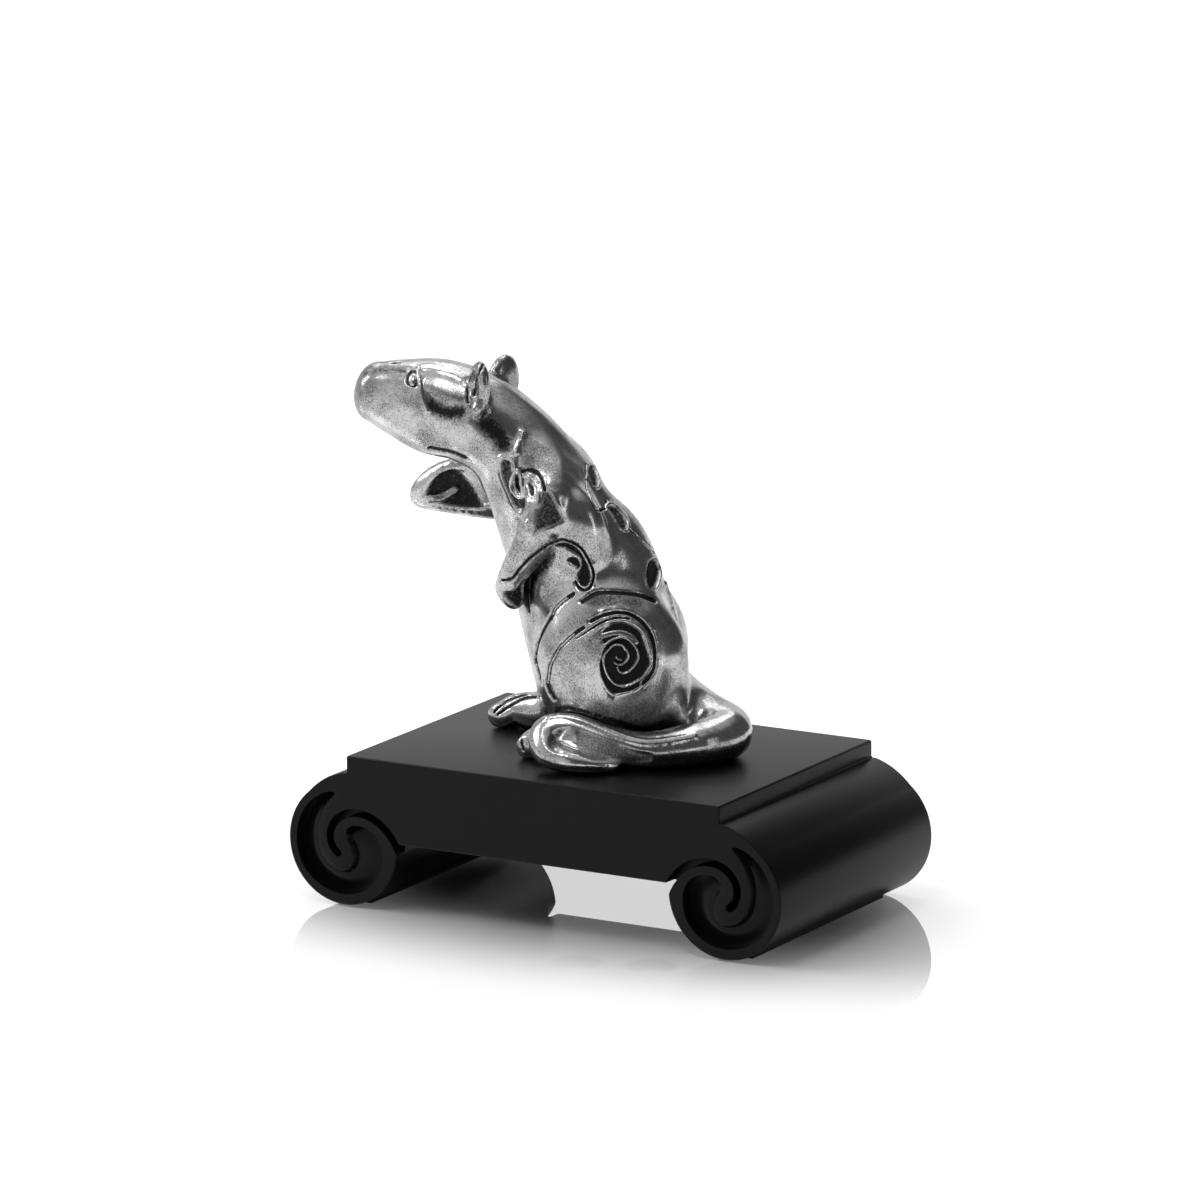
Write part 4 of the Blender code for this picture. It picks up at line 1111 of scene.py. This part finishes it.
def stand_shell():
    """The stand's skin: its carved front and back and the surface that runs between them."""
    spots, faces = stand_face()
    depth = carving_depth(spots)
    shape = bmesh.new()
    for way in (-1, 1):
        verts = [shape.verts.new((x, way * (STAND_HALF_DEPTH - d), z)) for (x, z), d in zip(spots, depth)]
        for face in faces:
            shape.faces.new([verts[i] for i in face])
    shape.verts.index_update()
    shape.verts.ensure_lookup_table()
    rims = [edge for edge in shape.edges if len(edge.link_faces) == 1]
    count = len(spots)
    for edge in [edge for edge in rims if edge.verts[0].index < count]:
        a, b = (vert.index for vert in edge.verts)
        shape.faces.new((shape.verts[a], shape.verts[b], shape.verts[b + count], shape.verts[a + count]))
    loose = [vert for vert in shape.verts if not vert.link_faces]
    bmesh.ops.delete(shape, geom=loose, context="VERTS")
    bmesh.ops.recalc_face_normals(shape, faces=shape.faces)
    return shape


def rod(shape, radius, start, end):
    """Adds a cylinder from one point to another."""
    start, end = Vector(start), Vector(end)
    turn = (end - start).to_track_quat("Z", "Y").to_matrix().to_4x4()
    place = Matrix.Translation((start + end) / 2) @ turn
    bmesh.ops.create_cone(shape, cap_ends=True, segments=BORE_SIDES, radius1=radius, radius2=radius,
                          depth=(end - start).length, matrix=place)


def rat_place(scale):
    """From the rat's own frame to the stand's, with places in the stand's units of this many metres."""
    return Matrix.Translation(Vector(RAT_PLACE) / scale) @ Matrix.Rotation(math.radians(HEADING), 4, "Z")


def stand_holes():
    """The holes under the rat, the felt's seats and the dowels' bores, as two sets of shapes to cut out."""
    wide, slim = bmesh.new(), bmesh.new()
    for forward in SCREWS_FORWARD:
        x, y, _ = rat_place(MM) @ Vector((forward, 0, 0))
        below = (x, y, PANEL_UNDER - BORE_SPARE)
        rod(wide, COUNTERBORE_RADIUS, below, (x, y, PANEL_UNDER + COUNTERBORE_DEPTH))
        rod(slim, SCREW_HOLE_RADIUS, below, (x, y, STAND_TOP + BORE_SPARE))
    for side in (1, -1):
        seat = Matrix.Translation((side * ROLL_X, 0, FELT_SEAT_HEIGHT)) @ Matrix.Diagonal((*FELT_SEAT, 1))
        bmesh.ops.create_cube(wide, size=1, matrix=seat)
        for end in (1, -1):
            middle = np.array((side * DOWEL_X, end * DOWEL_Y, DOWEL_HEIGHT))
            rod(wide, DOWEL_HOLE_RADIUS, middle - (DOWEL_HALF, 0, 0), middle + (DOWEL_HALF, 0, 0))
    return wide, slim


def shown(name, mesh, material, nodes):
    """A smooth piece of this mesh, in metres, that stands for some of the model's nodes."""
    made = bpy.data.objects.new(name, mesh)
    bpy.context.scene.collection.objects.link(made)
    mesh.materials.clear()
    mesh.materials.append(material)
    mesh.shade_smooth()
    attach(made, "root")
    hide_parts(*nodes)
    return made


def build_rat(material):
    """The rat as one cast skin, in its place on the stand."""
    skin = rat_skin()
    skin.transform(rat_place(1) @ Matrix.Scale(MM, 4))
    return shown("rat_casting", skin, material, PEWTER_NODES)


def bored(shell, cutters):
    """The shell's mesh with the cutters' shapes taken out of it."""
    home = bpy.context.scene.collection
    mesh = bpy.data.meshes.new("shell")
    shell.to_mesh(mesh)
    shell.free()
    target = bpy.data.objects.new("shell", mesh)
    home.objects.link(target)
    others = []
    for cutter in cutters:
        shape = bpy.data.meshes.new("cutter")
        bmesh.ops.recalc_face_normals(cutter, faces=cutter.faces)
        cutter.to_mesh(shape)
        cutter.free()
        others.append(bpy.data.objects.new("cutter", shape))
        home.objects.link(others[-1])
        step = target.modifiers.new("Bore", "BOOLEAN")
        step.operation = "DIFFERENCE"
        step.object = others[-1]
    bpy.context.view_layer.update()
    result = bpy.data.meshes.new_from_object(target.evaluated_get(bpy.context.evaluated_depsgraph_get()))
    for used in (target, *others):
        bpy.data.objects.remove(used)
    return result


def build_stand(material):
    """The stand as one painted body, with its edges kept crisp."""
    mesh = bored(stand_shell(), stand_holes())
    mesh.name = "stand_body"
    mesh.transform(Matrix.Scale(MM, 4))
    made = shown("stand_body", mesh, material, PAINTED_NODES)
    mesh.set_sharp_from_angle(angle=math.radians(SHARP_ANGLE))
    return made


class Graph:
    """Short calls for a material's or the world's nodes."""

    def __init__(self, tree):
        self.tree = tree

    def feed(self, socket, value):
        """Links an output to the socket, or sets the socket to a plain value."""
        if isinstance(value, bpy.types.NodeSocket):
            self.tree.links.new(value, socket)
        else:
            socket.default_value = value

    def add(self, kind, inputs=(), **settings):
        """A new node with these settings, and its inputs fed in order, or by name where they are a dict."""
        made = self.tree.nodes.new(kind)
        for name, value in settings.items():
            setattr(made, name, value)
        for key, value in inputs.items() if isinstance(inputs, dict) else enumerate(inputs):
            self.feed(made.inputs[key], value)
        return made

    def math(self, operation, *values, clamp=False):
        """Arithmetic on outputs and plain values."""
        return self.add("ShaderNodeMath", values, operation=operation, use_clamp=clamp).outputs[0]

    def vector(self, operation, *values):
        """Arithmetic on places, directions and factors along each axis."""
        return self.add("ShaderNodeVectorMath", values, operation=operation).outputs

    def step(self, value, low, high, first=0.0, last=1.0):
        """A smooth step from first to last as the value goes from low to high."""
        inputs = {"Value": value, "From Min": low, "From Max": high, "To Min": first, "To Max": last}
        return self.add("ShaderNodeMapRange", inputs, interpolation_type="SMOOTHSTEP").outputs["Result"]

    def blend(self, share, first, second):
        """A colour between two colours."""
        inputs = {"Factor": share, "A": first, "B": second}
        return self.add("ShaderNodeMix", inputs, data_type="RGBA").outputs["Result"]

    def millimetres(self):
        """Object coordinates in millimetres."""
        place = self.add("ShaderNodeTexCoord").outputs["Object"]
        scaled = self.add("ShaderNodeVectorMath", {0: place, "Scale": 1 / MM}, operation="SCALE")
        return scaled.outputs[0]

    def noise(self, where, per_mm, detail=2.0, roughness=0.5):
        """Cloudy noise from 0 to 1."""
        inputs = {"Vector": where, "Scale": per_mm, "Detail": detail, "Roughness": roughness}
        return self.add("ShaderNodeTexNoise", inputs).outputs["Fac"]

    def attribute(self, name):
        """A value kept at the mesh's corners."""
        return self.add("ShaderNodeAttribute", attribute_name=name).outputs["Fac"]

    def bump(self, height, distance, under=None):
        """Fine relief, on top of the relief under it."""
        inputs = {"Height": height, "Distance": distance, "Strength": 1.0}
        if under:
            inputs["Normal"] = under
        return self.add("ShaderNodeBump", inputs).outputs["Normal"]


def surface(name):
    """A new material, its nodes and its shader's inputs."""
    made = bpy.data.materials.new(name)
    made.use_nodes = True
    return made, Graph(made.node_tree), made.node_tree.nodes["Principled BSDF"].inputs


def pewter():
    """Polished cast pewter, with dark patina and painted shade in its hollows and creases, painted dark
    reflections in some places, and fine sand left in its hollows.
    """
    made, graph, shader = surface("pewter_antique")
    where = graph.millimetres()
    patina_and_painted_shade, sand = graph.attribute("patina_and_painted_shade"), graph.attribute("sand")
    cloud = graph.noise(where, 0.18, 3, 0.6)
    speck = graph.noise(where, 2.2, 5, 0.75)
    grit = graph.noise(where, 5.0, 3, 0.7)
    # Fine specks together with the skin's darkening, which is patina and painted shade
    specks_patina_and_shade = graph.math("MULTIPLY_ADD", speck, 1.3, graph.math("MULTIPLY", patina_and_painted_shade, 0.85))
    dark = graph.step(specks_patina_and_shade, 0.68, 1.25)
    lean = graph.math("MULTIPLY_ADD", cloud, 0.35, graph.math("MULTIPLY", sand, 0.12))
    specks = graph.step(graph.math("MULTIPLY_ADD", grit, 0.9, lean), 0.56, 0.76)
    cover = graph.math("MAXIMUM", dark, graph.math("MULTIPLY", specks, 0.75), clamp=True)
    bright = graph.blend(graph.step(cloud, 0.35, 0.65), (0.64, 0.637, 0.632, 1), (0.5, 0.497, 0.495, 1))
    graph.feed(shader["Base Color"], graph.blend(cover, bright, (0.025, 0.025, 0.027, 1)))
    shader["Metallic"].default_value = 1
    rough = graph.math("MULTIPLY_ADD", cover, 0.26, 0.16)
    rough = graph.math("MULTIPLY_ADD", sand, 0.25, rough)
    uneven = graph.math("SUBTRACT", cloud, 0.5)
    graph.feed(shader["Roughness"], graph.math("MULTIPLY_ADD", uneven, 0.12, rough))
    waves = graph.bump(graph.noise(where, 0.22, 1.5, 0.5), 0.00012)
    coarse = graph.math("MULTIPLY", grit, graph.math("MULTIPLY_ADD", sand, 1.0, 0.06))
    graph.feed(shader["Normal"], graph.bump(coarse, 0.00006, waves))
    return made


def black_paint():
    """Satin black paint over fine wood grain."""
    made, graph, shader = surface("paint_black_satin")
    where = graph.millimetres()
    grain = graph.noise(graph.vector("MULTIPLY", where, (0.06, 1.0, 1.0))[0], 3.0, 3, 0.6)
    cloud = graph.noise(where, 0.08, 2)
    black = graph.blend(cloud, (0.002, 0.002, 0.0022, 1), (0.004, 0.004, 0.0042, 1))
    graph.feed(shader["Base Color"], black)
    graph.feed(shader["Roughness"], graph.math("MULTIPLY_ADD", grain, 0.08, 0.32))
    shader["Specular IOR Level"].default_value = 0.16
    peel = graph.bump(graph.noise(where, 1.4, 2), 0.00001)
    graph.feed(shader["Normal"], graph.bump(grain, 0.000012, peel))
    return made


def felt():
    """Black felt with loose fibres."""
    made, graph, shader = surface("felt_black")
    fibre = graph.noise(graph.millimetres(), 4.0, 5, 0.7)
    graph.feed(shader["Base Color"], graph.blend(fibre, (0.008, 0.008, 0.009, 1), (0.035, 0.035, 0.037, 1)))
    shader["Roughness"].default_value = 0.95
    shader["Sheen Weight"].default_value = 0.4
    graph.feed(shader["Normal"], graph.bump(fibre, 0.0002))
    return made


def beech():
    """Plain beech, with its grain along the dowel."""
    made, graph, shader = surface("beech_plain")
    along = graph.vector("MULTIPLY", graph.millimetres(), (0.12, 1.0, 1.0))[0]
    grain = graph.noise(along, 1.6, 4, 0.65)
    graph.feed(shader["Base Color"], graph.blend(grain, (0.50, 0.33, 0.19, 1), (0.72, 0.53, 0.35, 1)))
    shader["Roughness"].default_value = 0.6
    graph.feed(shader["Normal"], graph.bump(grain, 0.00004))
    return made


def zinc():
    """Bright zinc plating, slightly uneven."""
    made, graph, shader = surface("zinc_plate")
    where = graph.millimetres()
    patch = graph.noise(where, 0.9, 3, 0.6)
    graph.feed(shader["Base Color"], graph.blend(patch, (0.52, 0.54, 0.56, 1), (0.68, 0.69, 0.70, 1)))
    shader["Metallic"].default_value = 1
    graph.feed(shader["Roughness"], graph.math("MULTIPLY_ADD", patch, 0.2, 0.22))
    graph.feed(shader["Normal"], graph.bump(graph.noise(where, 5.0, 2), 0.00002))
    return made


def dress_nodes():
    """Gives the nodes that stay in view their finishes."""
    finishes = {"dowel": beech(), "felt": felt(), "screw": zinc(), "washer": zinc()}
    for name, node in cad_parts.items():
        kind = name.split("_")[0]
        if kind in finishes:
            for place in node.material_slots:
                place.material = finishes[kind]


def white_floor():
    """A white floor, a strong mirror under the stand, that fades to plain white away from it; its glow fades
    out under the stand as a painted shadow.
    """
    made, graph, shader = surface("floor_white")
    where = graph.millimetres()
    tone = graph.noise(where, 0.004, 2)
    graph.feed(shader["Base Color"], graph.blend(tone, (0.86, 0.85, 0.87, 1), (0.88, 0.87, 0.89, 1)))
    shader["Roughness"].default_value = 0.0
    light = graph.add("ShaderNodeLightPath").outputs
    mirrored = graph.math("MULTIPLY", light["Is Glossy Ray"], FLOOR_MIRRORED_GLOW)
    glow = graph.math("MULTIPLY_ADD", light["Is Camera Ray"], FLOOR_GLOW, mirrored)
    away = graph.vector("LENGTH", graph.vector("MULTIPLY", where, FLOOR_PAINTED_SHADOW_STRETCH)[0])["Value"]
    shader["Emission Color"].default_value = (1, 1, 1, 1)
    # The glow fades out near the stand: a painted shadow under it
    glow_past_painted_shadow = graph.step(away, *FLOOR_PAINTED_SHADOW_SPAN)
    graph.feed(shader["Emission Strength"], graph.math("MULTIPLY", glow, glow_past_painted_shadow))
    graph.feed(shader["Metallic"], graph.step(away, *FLOOR_PAINTED_SHADOW_SPAN, *FLOOR_MIRROR))
    return made


def area_lamp(name, place, size, power):
    """A soft rectangular lamp that points at the object, with its size and place in metres."""
    data = bpy.data.lights.new(name, "AREA")
    data.shape = "RECTANGLE"
    data.size, data.size_y = size
    data.energy = power
    made = bpy.data.objects.new(name, data)
    made.location = place
    made.rotation_euler = (Vector(LAMP_TARGET) - Vector(place)).to_track_quat("-Z", "Y").to_euler()
    bpy.context.scene.collection.objects.link(made)


def room():
    """The room: white to the camera and in the floor's mirror, and dark with paler sides for the rest."""
    world = bpy.data.worlds.new("room")
    bpy.context.scene.world = world
    world.use_nodes = True
    graph = Graph(world.node_tree)
    way = graph.add("ShaderNodeTexCoord").outputs["Generated"]
    level = ROOM_DARK
    for direction, (low, high), bright in ROOM_SIDES:
        toward = graph.vector("DOT_PRODUCT", way, Vector(direction).normalized())["Value"]
        level = graph.math("MAXIMUM", level, graph.step(toward, low, high, 0.0, bright))
    light = graph.add("ShaderNodeLightPath").outputs
    seen = graph.math("MAXIMUM", light["Is Camera Ray"], light["Is Singular Ray"])
    level = graph.math("MAXIMUM", level, seen)
    shade = graph.add("ShaderNodeCombineColor", (level, level, level))
    graph.feed(world.node_tree.nodes["Background"].inputs["Color"], shade.outputs[0])


def studio():
    """The floor, the lamps and the room."""
    corners = [(x * FLOOR_HALF, y * FLOOR_HALF, 0) for x, y in ((-1, -1), (1, -1), (1, 1), (-1, 1))]
    mesh = bpy.data.meshes.new("studio_floor")
    mesh.from_pydata(corners, [], [(0, 1, 2, 3)])
    mesh.materials.append(white_floor())
    floor = bpy.data.objects.new("studio_floor", mesh)
    bpy.context.scene.collection.objects.link(floor)
    floor.location.z = -FLOOR_DROP
    floor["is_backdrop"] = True
    for lamp in LAMPS:
        area_lamp(*lamp)
    room()


def camera():
    """The camera where the photograph was taken from."""
    az, el, roll = (math.radians(a) for a in (CAMERA_AZIMUTH, CAMERA_ELEVATION, CAMERA_ROLL))
    back = Vector((math.sin(az) * math.cos(el), -math.cos(az) * math.cos(el), math.sin(el)))
    right = Vector((math.cos(az), math.sin(az), 0))
    up = back.cross(right)
    across = right * math.cos(roll) + up * math.sin(roll)
    above = up * math.cos(roll) - right * math.sin(roll)
    data = bpy.data.cameras.new("camera")
    data.lens = CAMERA_LENS
    data.clip_end = CAMERA_FAR
    made = bpy.data.objects.new("camera", data)
    place = Vector(CAMERA_TARGET) + back * CAMERA_DISTANCE
    made.matrix_world = Matrix.Translation(place) @ Matrix((across, above, back)).transposed().to_4x4()
    bpy.context.scene.collection.objects.link(made)
    bpy.context.scene.camera = made


camera()
studio()
build_rat(pewter())
build_stand(black_paint())
dress_nodes()
bpy.context.scene.view_settings.view_transform = "Standard"
boxes = {"cad": cad_box, "visual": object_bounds()}
{name: [[float(v) for v in corner] for corner in box] for name, box in boxes.items()}
